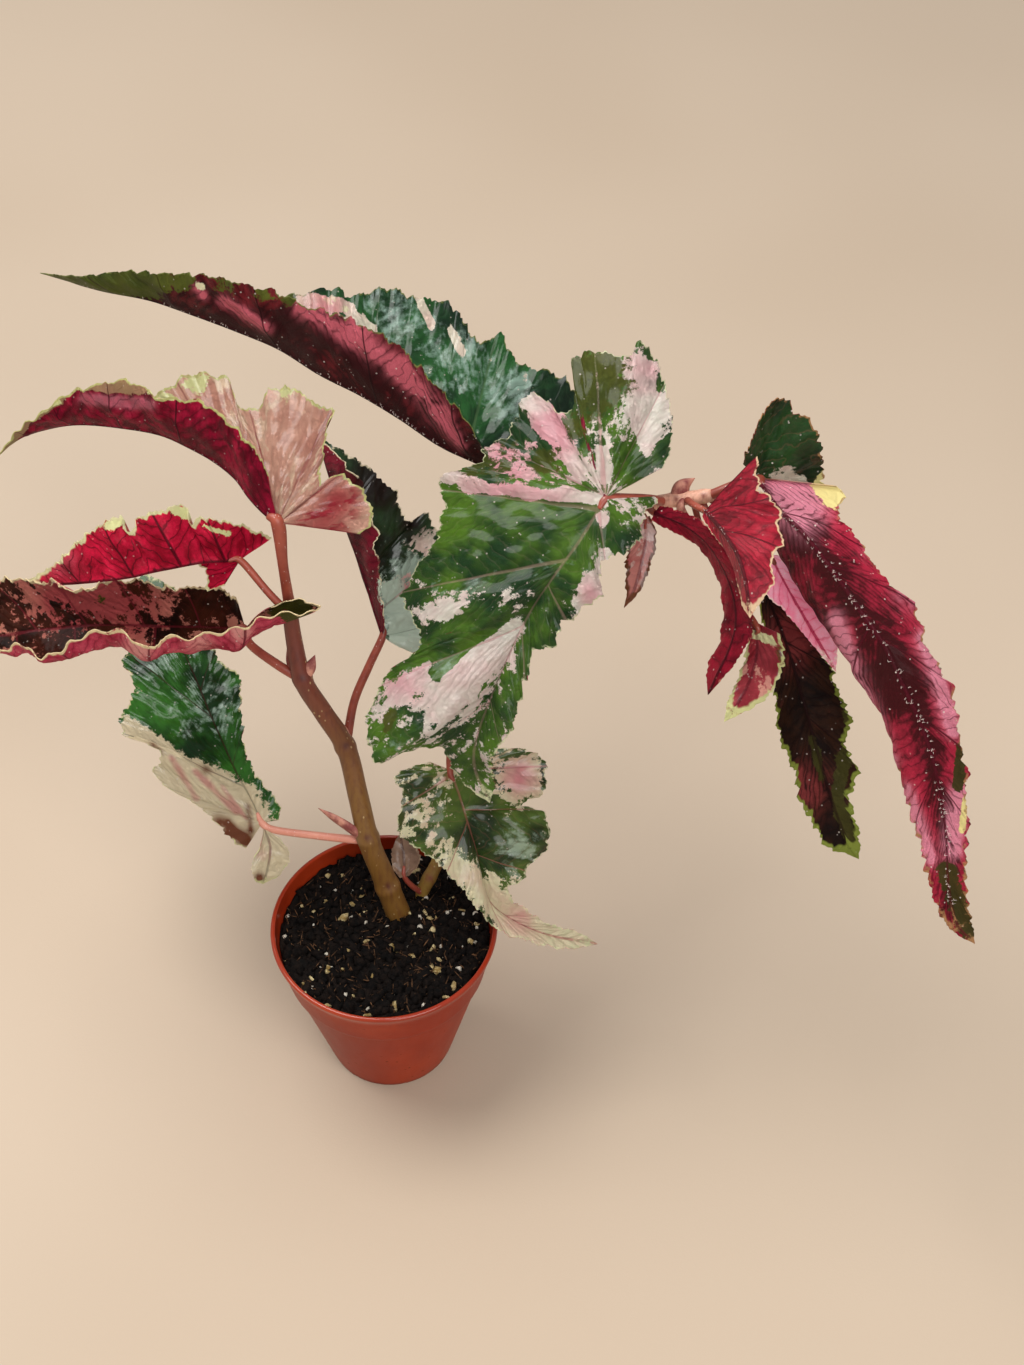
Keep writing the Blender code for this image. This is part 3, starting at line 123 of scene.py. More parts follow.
class Paint(Graph):
    # One material, with its fixed values set at the start.
    def __init__(self, name, fixed):
        self.material = bpy.data.materials.new(name)
        self.material.use_nodes = True
        super().__init__(self.material.node_tree)
        self.shader = self.tree.nodes["Principled BSDF"]
        for socket, value in fixed.items():
            self.shader.inputs[socket].default_value = value

    def place(self):
        return self.node("ShaderNodeTexCoord", out="Object")

    def height(self):  # metres over the table
        return self.node("ShaderNodeSeparateXYZ", {}, {0: self.place()}, 2)

    def stretched(self, where, scale):
        return self.node("ShaderNodeMapping", {}, {"Vector": where, "Scale": scale})

    def mark(self, name):
        return self.node("ShaderNodeAttribute", {"attribute_name": name}, out="Fac")

    def noise(self, where, scale, detail=3.0, rough=0.55):
        return self.node("ShaderNodeTexNoise", {},
                         {"Vector": where, "Scale": scale, "Detail": detail,
                          "Roughness": rough})

    def cells(self, where, scale, feature="F1", out="Distance"):
        return self.node("ShaderNodeTexVoronoi", {"feature": feature},
                         {"Vector": where, "Scale": scale}, out)

    def mix(self, share, a, b, blend="MIX"):
        return self.node("ShaderNodeMix", {"data_type": "RGBA", "blend_type": blend},
                         {0: share, 6: a, 7: b}, 2)

    def finish(self, colour, rough, height, reach=0.001):
        self.feed(self.shader.inputs["Base Color"], colour)
        self.feed(self.shader.inputs["Roughness"], rough)
        bump = self.node("ShaderNodeBump", {}, {"Strength": 1.0, "Distance": reach,
                                                "Height": height}, "Normal")
        self.feed(self.shader.inputs["Normal"], bump)
        return self.material


def tone(red, green, blue):  # a screen colour, 0 to 255, as Blender's own
    parts = []
    for value in (red, green, blue):
        share = value / 255
        parts.append(share / 12.92 if share <= 0.04045
                     else ((share + 0.055) / 1.055) ** 2.4)
    return (*parts, 1.0)


# shape helpers

view = {  # the front view that the plant's points are drawn in, millimetres
    "eye": (67.6, -673.7, 1060.3), "tilt": math.radians(48.523), "focal": 2200.0,
    "middle": (512.0, 682.5), "high": 1365.0,
    "step": 0.5,  # one step of the drawing, about, at the plant
}


def sight(point):  # (right, down, height) as a place in millimetres
    right, down, height = point[:3]
    across = (right - view["middle"][0]) / view["focal"]
    rise = (view["middle"][1] - down) / view["focal"]
    cosTilt, sinTilt = math.cos(view["tilt"]), math.sin(view["tilt"])
    ray = (across, cosTilt + rise * sinTilt, rise * cosTilt - sinTilt)
    reach = (height - view["eye"][2]) / ray[2]
    spot = [eye + reach * part for eye, part in zip(view["eye"], ray)]
    return tuple(spot) + tuple(point[3:])


def drawn(places):  # places in millimetres as (right, down) in the front view
    off = np.asarray(places) - np.array(view["eye"])
    cosTilt, sinTilt = math.cos(view["tilt"]), math.sin(view["tilt"])
    depth = off[:, 1] * cosTilt - off[:, 2] * sinTilt
    rise = off[:, 1] * sinTilt + off[:, 2] * cosTilt
    right = view["middle"][0] + view["focal"] * off[:, 0] / depth
    return np.stack([right, view["middle"][1] - view["focal"] * rise / depth], 1)


def awayFrom(spots, right, down):  # millimetres, about, from a drawn point
    return np.hypot(spots[:, 0] - right, spots[:, 1] - down) * view["step"]


def smoothLine(points, steps):  # Catmull-Rom, read at even lengths
    points = np.asarray(points, float)
    ends = np.vstack([2 * points[0] - points[1], points,
                      2 * points[-1] - points[-2]])
    fine = []
    for i in range(1, len(ends) - 2):
        p0, p1, p2, p3 = ends[i - 1:i + 3]
        for t in np.arange(0.0, 1.0, 0.05):
            fine.append(0.5 * (2 * p1 + (p2 - p0) * t
                               + (2 * p0 - 5 * p1 + 4 * p2 - p3) * t * t
                               + (3 * p1 - p0 - 3 * p2 + p3) * t ** 3))
    fine = np.array(fine + [ends[-2]])
    runs = np.linalg.norm(np.diff(fine[:, :3], axis=0), axis=1)
    length = np.concatenate([[0.0], np.cumsum(runs)])
    at = np.linspace(0.0, length[-1], steps + 1)
    return np.stack([np.interp(at, length, column) for column in fine.T], 1)


def readLine(line, share):
    last = len(line) - 1
    where = np.clip(np.asarray(share, float), 0.0, 1.0) * last
    i = np.minimum(where.astype(int), last - 1)
    part = (where - i)[..., None]
    return line[i] * (1 - part) + line[i + 1] * part


def lineLength(line):
    return float(np.linalg.norm(np.diff(line[:, :3], axis=0), axis=1).sum())


def unit(vectors):
    return vectors / (np.linalg.norm(vectors, axis=-1, keepdims=True) + 1e-9)


def between(values, low, high):  # 0 at low and 1 at high, straight between
    return np.clip((values - low) / (high - low), 0.0, 1.0)


def ringFaces(rows, sides):  # four-sided faces between closed rings of points
    faces = []
    for row in range(rows - 1):
        for k in range(sides):
            a, b = row * sides + k, row * sides + (k + 1) % sides
            faces.append((a, b, b + sides, a + sides))
    return faces


def addMeshes(parts):  # (verts, faces, material number) joined in one list
    verts, faces, kinds = [], [], []
    for points, sides, kind in parts:
        faces += [tuple(int(v) + len(verts) for v in face) for face in sides]
        verts += [tuple(p) for p in points]
        kinds += [kind] * len(sides)
    return verts, faces, kinds


def cornersOf(faces):  # the point at each face corner
    return np.array([v for face in faces for v in face])


def newObject(name, data):
    made = bpy.data.objects.new(name, data)
    bpy.context.scene.collection.objects.link(made)
    return made


def meshFrom(name, bm):  # the edit mesh ends here
    mesh = bpy.data.meshes.new(name)
    bm.to_mesh(mesh)
    bm.free()
    return mesh


def withModifiers(piece):  # a new mesh, as its modifiers leave it
    depsgraph = bpy.context.evaluated_depsgraph_get()
    return bpy.data.meshes.new_from_object(piece.evaluated_get(depsgraph))


def makePiece(name, verts, faces, materials, marks=None, kinds=None):
    # A mesh object from places in millimetres, with marks on its face corners.
    mesh = bpy.data.meshes.new(name)
    mesh.from_pydata((np.asarray(verts) * mm).tolist(), [], faces)
    for material in materials:
        mesh.materials.append(material)
    if kinds is not None:
        mesh.polygons.foreach_set("material_index", np.asarray(kinds, np.int32))
    for key, values in (marks or {}).items():
        layer = mesh.attributes.new(key, "FLOAT", "CORNER")
        layer.data.foreach_set("value", np.asarray(values, np.float32))
    mesh.shade_smooth()
    return newObject(name, mesh)


def joinInto(piece, others):  # the other meshes become part of the piece
    bm = bmesh.new()
    bm.from_mesh(piece.data)
    for other in others:
        slot, start = len(piece.data.materials), len(bm.faces)
        worn = [material for material in other.data.materials if material]
        piece.data.materials.append(worn[0])
        bm.from_mesh(other.data)
        bm.faces.ensure_lookup_table()
        for face in bm.faces[start:]:
            face.material_index = slot
        bpy.data.objects.remove(other)
    bm.to_mesh(piece.data)
    bm.free()


def settle(piece, node):  # the piece stands for one CAD node
    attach(piece, "root")
    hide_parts(node)


def tubeMesh(points, sides, steps, flat=1.0, swell=()):
    # Rings along drawn points that end in a radius; swell has (right, down, reach,
    # part).
    line = smoothLine([sight(p) for p in points], steps)
    path, radius = line[:, :3], line[:, 3].copy()
    spots = drawn(path)
    for right, down, reach, part in swell:
        away = awayFrom(spots, right, down)
        radius *= 1 + part * np.exp(-(away / reach) ** 2)
    ahead = unit(np.gradient(path, axis=0))
    side = unit(np.cross(ahead, np.array([0.35, 1.0, 0.15])))
    up = np.cross(ahead, side)
    turn = np.arange(sides) * 2 * math.pi / sides
    rings = (path[:, None] + radius[:, None, None]
             * (np.cos(turn)[None, :, None] * side[:, None]
                + flat * np.sin(turn)[None, :, None] * up[:, None]))
    # low domes close the ends
    start = path[0] - 0.35 * radius[0] * ahead[0]
    end = path[-1] + 0.35 * radius[-1] * ahead[-1]
    verts = np.vstack([rings.reshape(-1, 3), start, end])
    faces = ringFaces(steps + 1, sides)
    low, top, last = len(verts) - 2, len(verts) - 1, steps * sides
    for k in range(sides):
        faces.append((low, (k + 1) % sides, k))
        faces.append((top, last + k, last + (k + 1) % sides))
    return verts, faces


# Geometry Nodes: small shapes strewn over a surface or on its points

strewInputs = {"Amount": "Float", "Smallest": "Float", "Largest": "Float",
               "Seed": "Int", "Lean": "Float"}


def strew(name, host, shapes, amounts, material, along=False):
    # amounts: count for a square metre (not read along points), least, most, seed,
    # and along points the lean
    group = bpy.data.node_groups.new(name, "GeometryNodeTree")
    face = group.interface
    face.new_socket("Geometry", in_out="INPUT", socket_type="NodeSocketGeometry")
    sockets = {key: face.new_socket(key, in_out="INPUT",
                                    socket_type="NodeSocket" + kind)
               for key, kind in strewInputs.items()}
    face.new_socket("Geometry", in_out="OUTPUT", socket_type="NodeSocketGeometry")
    graph = Graph(group)

    def given(key):
        return graph.node("NodeGroupInput", out=key)

    if along:
        points = graph.node("GeometryNodeMeshToPoints", {}, {
            "Mesh": given("Geometry"), "Radius": 0.0001})
        turned = graph.node("FunctionNodeAlignRotationToVector", {"axis": "Z"}, {
            "Vector": graph.node("GeometryNodeInputNormal")})
        turn = graph.node("FunctionNodeRandomValue", {"data_type": "FLOAT"}, {
            "Min": given("Lean") * -1.0, "Max": given("Lean"),
            "Seed": given("Seed")}, "Value")
        turn = graph.join(turn, turn, 0.0)
    else:
        points = graph.node("GeometryNodeDistributePointsOnFaces", {}, {
            "Mesh": given("Geometry"), "Density": given("Amount"),
            "Seed": given("Seed")}, "Points")
        turned = points.also("Rotation")
        turn = graph.node("FunctionNodeRandomValue", {"data_type": "FLOAT_VECTOR"}, {
            0: (0.0, 0.0, 0.0), 1: (6.28, 6.28, 6.28), "Seed": given("Seed")},
            "Value")
    spin = graph.node("FunctionNodeEulerToRotation", {}, {0: turn})
    both = graph.node("FunctionNodeRotateRotation", {"rotation_space": "LOCAL"},
                      {0: turned, 1: spin})
    size = graph.node("FunctionNodeRandomValue", {"data_type": "FLOAT"}, {
        "Min": given("Smallest"), "Max": given("Largest"), "Seed": given("Seed")},
        "Value")
    folder = bpy.data.collections.new(name)
    for shape in shapes:
        folder.objects.link(shape)
    source = graph.node("GeometryNodeCollectionInfo", {}, {
        "Collection": folder, "Separate Children": True})
    scattered = graph.node("GeometryNodeInstanceOnPoints", {}, {
        "Points": points, "Instance": source, "Pick Instance": True,
        "Rotation": both, "Scale": size})
    real = graph.node("GeometryNodeRealizeInstances", {}, {"Geometry": scattered})
    dressed = graph.node("GeometryNodeSetMaterial", {}, {"Geometry": real,
                                                         "Material": material})
    graph.feed(group.nodes.new("NodeGroupOutput").inputs["Geometry"], dressed)
    modifier = host.modifiers.new(name, "NODES")
    modifier.node_group = group
    for key, value in zip(strewInputs, amounts):
        modifier[sockets[key].identifier] = value
    mesh = withModifiers(host)
    host.modifiers.remove(modifier)
    bpy.data.collections.remove(folder)
    for shape in shapes:
        bpy.data.objects.remove(shape)
    mesh.name = name
    return newObject(name, mesh)


def crumb(name, seed, rough, stretch, finer=1):
    # A lump of a few dozen faces, one unit across.
    bm = bmesh.new()
    bmesh.ops.create_icosphere(bm, subdivisions=finer, radius=0.5)
    chance = np.random.default_rng(seed)
    for vert in bm.verts:
        vert.co *= 1 + rough * (chance.random() - 0.5)
        vert.co = Vector([c * s for c, s in zip(vert.co, stretch)])
    return bpy.data.objects.new(name, meshFrom(name, bm))


# pot

pot = {
    "height": 105.5, "rim": 60.0, "lip": 3.0, "roll": 1.2, "collar": 54.0,
    "collarHeight": 77.5, "body": 52.3, "bodyHeight": 75.5, "base": 34.2,
    "wall": 1.6, "floor": 2.4, "sides": 144, "sharpAngle": 35,
    "holes": 6, "holeRadius": 4.0, "holeCircle": 22.0, "holeTurn": 0.41,
    "notches": 8, "notchRadius": 2.0, "notchDrop": 0.6, "notchTurn": 0.3,
    "colour": tone(136, 36, 10), "worn": tone(160, 54, 24),
    "specksAndFootColour": tone(74, 46, 34), "footDarkHigh": 0.006,  # metres
    "shine": 0.1, "coatRough": 0.12, "gloss": 0.08, "lipGloss": 0.7,
    "glossFrom": (0.097, 0.101),  # metres, from the collar's gloss to the lip's
}


def insideRadius(height):
    heights = (pot["floor"], pot["bodyHeight"], pot["collarHeight"],
               pot["height"] - pot["lip"])
    radii = (pot["base"], pot["body"], pot["collar"], pot["rim"] - pot["roll"])
    return float(np.interp(height, heights, radii)) - pot["wall"]


def potFinish():
    paint = Paint("pot plastic", {"Coat Roughness": pot["coatRough"],
                                  "Specular IOR Level": pot["shine"]})
    where, height = paint.place(), paint.height()
    paint.feed(paint.shader.inputs["Coat Weight"],
               height.fade(*pot["glossFrom"]) * pot["lipGloss"] + pot["gloss"])
    cloud = paint.noise(where, 18, 4)
    scuff = paint.noise(paint.stretched(where, (240, 240, 12)), 1, 4)
    speck = paint.cells(where, 190)
    chance = paint.noise(where, 35, 2)
    colour = paint.mix(cloud.fade(0.35, 0.7), pot["colour"], pot["worn"])
    colour = paint.mix(scuff.fade(0.62, 0.75) * 0.35, colour, pot["worn"])
    specksAndFootDark = speck.fade(0.2, 0.12) * chance.fade(0.52, 0.66)
    # darker towards the bottom, over its lowest 6 mm
    specksAndFootDark = specksAndFootDark + height.fade(pot["footDarkHigh"], 0.0) * 0.45
    colour = paint.mix((specksAndFootDark * 0.8).clip(), colour, pot["specksAndFootColour"])
    rough = 0.3 + cloud * 0.12 + scuff * 0.12 + specksAndFootDark * 0.3
    peel = paint.noise(where, 900, 2)
    return paint.finish(colour, rough.clip(), peel * 0.05 - scuff * 0.05)


def cutWith(piece, radius, length, spot, lay):
    bm = bmesh.new()
    bmesh.ops.create_cone(bm, cap_ends=True, segments=24, radius1=radius * mm,
                          radius2=radius * mm, depth=length * mm)
    bmesh.ops.transform(bm, matrix=Matrix.Translation(Vector(spot) * mm) @ lay,
                        verts=bm.verts)
    cutter = newObject("cutter", meshFrom("cutter", bm))
    modifier = piece.modifiers.new("cut", "BOOLEAN")
    modifier.operation = "DIFFERENCE"
    modifier.object = cutter
    modifier.solver = "EXACT"
    piece.data = withModifiers(piece)
    piece.modifiers.clear()
    bpy.data.objects.remove(cutter)


def onCircle(radius, k, count, start):  # the turn and the place of one of a circle
    turn = 2 * math.pi * (k + start) / count
    return turn, radius * math.cos(turn), radius * math.sin(turn)


def potProfile():  # (radius, height) from the middle of the foot to that inside
    rim, top, lip = pot["rim"], pot["height"], pot["height"] - pot["lip"]
    foot, body, bodyTop = pot["base"], pot["body"], pot["bodyHeight"]
    collar, collarLow, floor = pot["collar"], pot["collarHeight"], pot["floor"]
    slope, out = (body - foot) / bodyTop, rim - pot["roll"]
    return [
        (0, 0), (foot - 3.0, 0), (foot - 1.0, 0), (foot - 0.35, 0.2), (foot, 0.8),
        *[(foot + slope * z, z) for z in np.linspace(4, bodyTop - 2, 12)],
        (body, bodyTop), (body + 0.7, bodyTop + 0.4),
        (collar - 0.3, collarLow - 0.5), (collar, collarLow),
        *[(collar + (out - collar) * t, collarLow + (lip - collarLow) * t)
          for t in (0.1, 0.3, 0.5, 0.7, 0.9)],
        (out, lip), (rim - 0.5, lip + 0.2), (rim - 0.12, lip + 0.7),
        (rim, lip + 1.4), (rim - 0.12, top - 0.9), (rim - 0.5, top - 0.3),
        (rim - 1.0, top - 0.05), (rim - 1.5, top), (rim - 2.0, top - 0.12),
        (rim - 2.4, top - 0.4), (rim - 2.65, top - 1.2),
        *[(insideRadius(z), z) for z in np.linspace(lip, collarLow, 6)],
        (insideRadius(bodyTop), bodyTop),
        *[(insideRadius(z), z) for z in np.linspace(60, 4, 6)],
        (insideRadius(floor) - 0.8, floor + 0.2),
        (insideRadius(floor) - 2.0, floor), (0, floor)]


def makePot():
    bm = bmesh.new()
    line = [bm.verts.new((r * mm, 0.0, z * mm)) for r, z in potProfile()]
    edges = [bm.edges.new(pair) for pair in zip(line[:-1], line[1:])]
    bmesh.ops.spin(bm, geom=line + edges, axis=(0, 0, 1), cent=(0, 0, 0),
                   steps=pot["sides"], angle=2 * math.pi)
    bmesh.ops.remove_doubles(bm, verts=bm.verts, dist=1e-5)
    bmesh.ops.recalc_face_normals(bm, faces=bm.faces)
    mesh = meshFrom("pot shell", bm)
    mesh.materials.append(potFinish())
    piece = newObject("pot_shell", mesh)
    for k in range(pot["holes"]):
        _, x, y = onCircle(pot["holeCircle"], k, pot["holes"], pot["holeTurn"])
        cutWith(piece, pot["holeRadius"], 12, (x, y, 0), Matrix.Identity(4))
    for k in range(pot["notches"]):
        turn, x, y = onCircle(pot["base"], k, pot["notches"], pot["notchTurn"])
        lay = Matrix.Rotation(turn, 4, "Z") @ Matrix.Rotation(math.pi / 2, 4, "Y")
        cutWith(piece, pot["notchRadius"], 7, (x, y, -pot["notchDrop"]), lay)
    piece.data.shade_smooth()
    piece.data.set_sharp_from_angle(angle=math.radians(pot["sharpAngle"]))
    settle(piece, "pot")
    print("pot done")


makePot()


# soil

soil = {
    "level": 96.5, "gap": 0.45, "rings": 70, "sides": 150, "shine": 0.12,
    "finish": ("peat", tone(9, 7, 6), tone(34, 25, 20), 160),
    "strewn": [  # amounts: count for a square metre, least, most, seed
        {"name": "clods", "crumb": "clod", "kinds": 5, "seed": 0, "rough": 0.7,
         "stretch": (1, 0.8, 0.6), "finer": 1, "amounts": (90000.0, 0.002, 0.009, 3),
         "finish": ("clod", tone(4, 3, 3), tone(30, 21, 16), 300)},
        {"name": "fibres", "crumb": "fibre", "kinds": 3, "seed": 20, "rough": 0.3,
         "stretch": (1, 0.05, 0.05), "finer": 1,
         "amounts": (60000.0, 0.005, 0.016, 8),
         "finish": ("fibre", tone(30, 20, 14), tone(126, 90, 62), 220)},
        {"name": "perlite", "crumb": "grain", "kinds": 3, "seed": 40, "rough": 0.5,
         "stretch": (1, 0.85, 0.8), "finer": 2,
         "amounts": (4800.0, 0.0014, 0.0044, 5),
         "finish": ("perlite", tone(196, 186, 168), tone(240, 234, 220), 500)},
        {"name": "bark", "crumb": "chip", "kinds": 4, "seed": 60, "rough": 0.6,
         "stretch": (1, 0.6, 0.35), "finer": 1,
         "amounts": (6000.0, 0.0038, 0.009, 9),
         "finish": ("bark chip", tone(128, 104, 58), tone(228, 212, 164), 260)},
    ],
}


def soilFinish(name, dark, light, scale):
    paint = Paint(name, {"Specular IOR Level": soil["shine"]})
    where = paint.place()
    blotch = paint.noise(where, scale, 5, 0.7)
    grain = paint.cells(where, scale * 6)
    colour = paint.mix(blotch.fade(0.35, 0.75), dark, light)
    return paint.finish(colour, 0.75 + blotch * 0.2, grain * 0.4 + blotch * 0.6)


def makeSoil():
    sides, edge = soil["sides"], insideRadius(soil["level"]) - soil["gap"]
    chance = np.random.default_rng(4)
    turn = np.arange(sides) * 2 * math.pi / sides
    verts = []
    walls = [pot["floor"] + 0.3, 40.0, pot["bodyHeight"], pot["collarHeight"]]
    for z in walls:
        reach = insideRadius(z) - soil["gap"]
        verts += list(zip(reach * np.cos(turn), reach * np.sin(turn), [z] * sides))
    for ring in range(soil["rings"], 0, -1):
        reach = edge * ring / soil["rings"]
        x, y = reach * np.cos(turn), reach * np.sin(turn)
        lumps = (0.9 * np.sin(x * 0.31 + 1) * np.cos(y * 0.27 + 0.4)
                 + 0.55 * np.sin(x * 0.83 - y * 0.61)
                 + 0.6 * np.sin(x * 1.1 + 2 * np.sin(y * 0.9))
                 + 0.4 * np.sin(y * 1.7 + x * 0.8))
        z = soil["level"] - 0.6 + lumps + 0.5 * (chance.random(sides) - 0.5)
        verts += list(zip(x, y, z))
    verts.append((0.0, 0.0, soil["level"] - 0.4))
    rows = len(walls) + soil["rings"]
    last, middle = (rows - 1) * sides, len(verts) - 1
    faces = [tuple(range(sides - 1, -1, -1))] + ringFaces(rows, sides)
    faces += [(last + k, last + (k + 1) % sides, middle) for k in range(sides)]
    piece = makePiece("soil_mix", verts, faces, [soilFinish(*soil["finish"])])
    top = [(x, y, z - 0.2) for x, y, z in verts[len(walls) * sides:-1]
           if math.hypot(x, y) < edge - 1.5]
    host = makePiece("soil_top", top, ringFaces(len(top) // sides, sides), [])
    strewn = []
    for kind in soil["strewn"]:
        shapes = [crumb(kind["crumb"] + str(k), kind["seed"] + k, kind["rough"],
                        kind["stretch"], kind["finer"]) for k in range(kind["kinds"])]
        strewn.append(strew(kind["name"], host, shapes, kind["amounts"],
                            soilFinish(*kind["finish"])))
    bpy.data.objects.remove(host)
    joinInto(piece, strewn)
    piece.data.shade_smooth()
    settle(piece, "soil")
    print("soil done:", len(piece.data.polygons), "faces")


makeSoil()


# canes and their stipules

caneShape = {  # lengths in millimetres
    "sides": 28, "steps": 200, "jointReach": 2.6, "jointSwell": 0.13,
    "ringReach": 1.9, "stipuleSides": 12, "stipuleSteps": 22, "stipuleWide": 1.9,
    "stipuleFlat": 0.5, "stipuleTip": 0.15, "coat": 0.1,
}
mainCane = {
    "node": "main_cane",
    "line": [(401, 919, 84, 6.9), (397, 910, 98, 6.6), (383, 875, 124, 6),
             (369, 841, 150, 5.6), (358, 795, 176, 5.3), (346, 748, 202, 5.1),
             (323, 712, 226, 4.9), (303, 680, 247, 4.7), (294, 640, 268, 4.1),
             (289, 602, 289, 3.6)],
    "joints": [(388, 886), (367, 838), (345, 746), (302, 678), (290, 610)],
    "stipules": [
        [(362, 838, 153, 1.6), (350, 828, 160, 2), (333, 817, 167, 1.5),
         (318, 808, 172, .5)],
        [(345, 745, 204, 1.6), (343, 731, 211, 1.8), (337, 718, 218, .5)],
        [(302, 678, 249, 1.8), (310, 667, 255, 1.6), (315, 655, 261, .4)],
        [(299, 680, 248, 1.6), (291, 664, 254, 1.4), (287, 648, 262, .4)]],
    "low": tone(118, 82, 32), "high": tone(106, 46, 32), "turnsAt": (0.16, 0.26),
    "joint": tone(74, 28, 22), "dots": tone(190, 160, 110),
}
sideCane = {
    "node": "side_cane",
    "line": [(425, 905, 84, 3.6), (422, 893, 97, 3.6), (438, 861, 116, 3.5),
             (464, 803, 145, 3.4), (486, 750, 171, 3.3), (502, 700, 195, 3.2),
             (522, 640, 226, 3.2), (546, 583, 258, 3.2), (580, 538, 288, 3.2),
             (628, 510, 311, 3.3), (672, 500, 320, 3.5), (698, 497, 325, 3.4),
             (712, 495, 328, 3)],
    "joints": [(430, 878), (486, 750), (527, 627), (630, 509), (676, 499),
               (704, 496)],
    "stipules": [
        [(676, 499, 321, 1.8), (683, 486, 328, 2.1), (695, 478, 332, .6)],
        [(682, 499, 322, 1.6), (681, 508, 321, 2), (688, 514, 320, .5)]],
    "low": tone(134, 104, 44), "high": tone(230, 176, 150), "turnsAt": (0.25, 0.315),
    "joint": tone(112, 50, 38), "dots": tone(214, 190, 140),
}
stipuleLook = {"dark": tone(112, 30, 40), "light": tone(206, 146, 124)}


def caneFinish(cane):
    paint = Paint(cane["node"] + " skin", {"Coat Weight": caneShape["coat"]})
    where, height = paint.place(), paint.height()
    cloud = paint.noise(where, 60, 4)
    streak = paint.noise(paint.stretched(where, (500, 500, 40)), 1, 3)
    rise = (height + cloud * 0.03 - 0.015).fade(*cane["turnsAt"])
    colour = paint.mix(rise, cane["low"], cane["high"])
    colour = paint.mix(streak.fade(0.4, 0.75) * 0.45, colour, cane["joint"])
    pore = paint.cells(paint.stretched(where, (330, 330, 210)), 1)
    chance = paint.noise(where, 130, 2)
    dots = pore.fade(0.22, 0.12) * chance.fade(0.5, 0.6)
    colour = paint.mix(dots * 0.7, colour, cane["dots"])
    ring = paint.mark("ring")
    colour = paint.mix((ring * (0.6 + streak * 0.5)).clip(), colour, cane["joint"])
    return paint.finish(colour, 0.38 + cloud * 0.2,
                        streak * 0.12 + dots * 0.2 + cloud * 0.1)


def paperFinish():
    paint = Paint("stipule paper", {})
    where = paint.place()
    cloud = paint.noise(where, 180, 4)
    line = paint.noise(paint.stretched(where, (1500, 1500, 120)), 1, 2)
    colour = paint.mix((cloud.fade(0.35, 0.65) * 0.7 + line * 0.3).clip(),
                       stipuleLook["dark"], stipuleLook["light"])
    return paint.finish(colour, 0.6 + line * 0.2, line * 0.2)


paper = paperFinish()


def makeCane(cane):
    swell = [(right, down, caneShape["jointReach"], caneShape["jointSwell"])
             for right, down in cane["joints"]]
    parts = [(*tubeMesh(cane["line"], caneShape["sides"], caneShape["steps"],
                        swell=swell), 0)]
    for points in cane["stipules"]:
        wide = [(*p[:3], p[3] * caneShape["stipuleWide"]) for p in points]
        wide[-1] = (*points[-1][:3], caneShape["stipuleTip"])
        parts.append((*tubeMesh(wide, caneShape["stipuleSides"],
                                caneShape["stipuleSteps"],
                                caneShape["stipuleFlat"]), 1))
    verts, faces, kinds = addMeshes(parts)
    spots = drawn(verts)
    ring = np.zeros(len(verts))
    for right, down in cane["joints"]:
        away = awayFrom(spots, right, down)
        ring = np.maximum(ring, np.exp(-(away / caneShape["ringReach"]) ** 2))
    piece = makePiece(cane["node"] + "_skin", verts, faces, [caneFinish(cane), paper],
                      {"ring": ring[cornersOf(faces)]}, kinds)
    settle(piece, cane["node"])


makeCane(mainCane)
makeCane(sideCane)
print("canes done")


# leaves: points as (right, down, height); in the stalk the radius follows, in the
# margins the share of the midrib that the point belongs to

leafShape = {  # lengths in millimetres
    "curveSteps": 160, "ribSlant": 0.35, "tipSlant": 0.08, "fanEnd": 0.015,
    "lobeBelly": 0.2, "column": 0.85, "ring": 2.2, "ringCrowd": 1.25,
    "toothPitch": 9.0, "smallTooth": 0.36, "toothLean": 0.72,
    "ripple": 1.3, "ripplePitch": 13.0, "buckle": 9.0, "buckleHigh": 0.5,
    "thick": 0.2, "thicker": 0.12, "keel": 0.8, "keelWide": 1.2,
    "stalkSides": 14, "stalkSteps": 56, "stalkRun": 6.0, "stalkTip": 0.55,
    "sharpAngle": 70,
}
leafLook = {  # what a leaf has unless its own look says otherwise; colours 0 to 255
    "deep": (30, 58, 32), "mid": (70, 108, 50), "silver": (158, 182, 168),
    "cream": (243, 232, 208), "blush": (232, 150, 152), "olive": (98, 102, 36),
    "bare": (242, 232, 190), "dark": (40, 22, 20),
    "sheen": 0.1, "patch": 0.0, "speckle": 0.4, "wash": 0.0,  # silver and painted highlight, cream, pink
    "veinUp": (196, 120, 104), "veinShow": 0.8, "netShow": 0.12, "sideStep": 6.5,
    "underDark": (96, 22, 38), "underLight": (168, 36, 66), "glow": 0.3,
    "rimGlow": 0.35, "ribDark": 0.0, "feather": 0.7,
    "underPale": (222, 130, 145), "underShow": 0.7,
    "veinUnder": (110, 20, 38), "sideUnder": 0.35,
    "edge": (226, 212, 176), "edgeWide": 1.1, "edgeShow": 0.5,  # width in mm
    "dotColour": (240, 226, 214), "dots": 0.6,
    "rough": 0.36, "coat": 0.42, "coatRough": 0.15, "gloss": 0.1,
    "through": 0.1,  # painted glow: emission in the leaf's own colour, for the light that a thin leaf lets through
    "relief": 0.0013,  # metres
    "stalkLow": (112, 38, 30), "stalkHigh": (172, 84, 62),
}
bristles = {  # share is a count for a square millimetre; the finish has two colours
    "share": 0.12, "reach": 1.8, "fromEdge": 2.0, "lean": 0.6,
    "base": 0.05, "tip": 0.008,
    "finish": (tone(236, 214, 206), tone(250, 240, 234)),
}
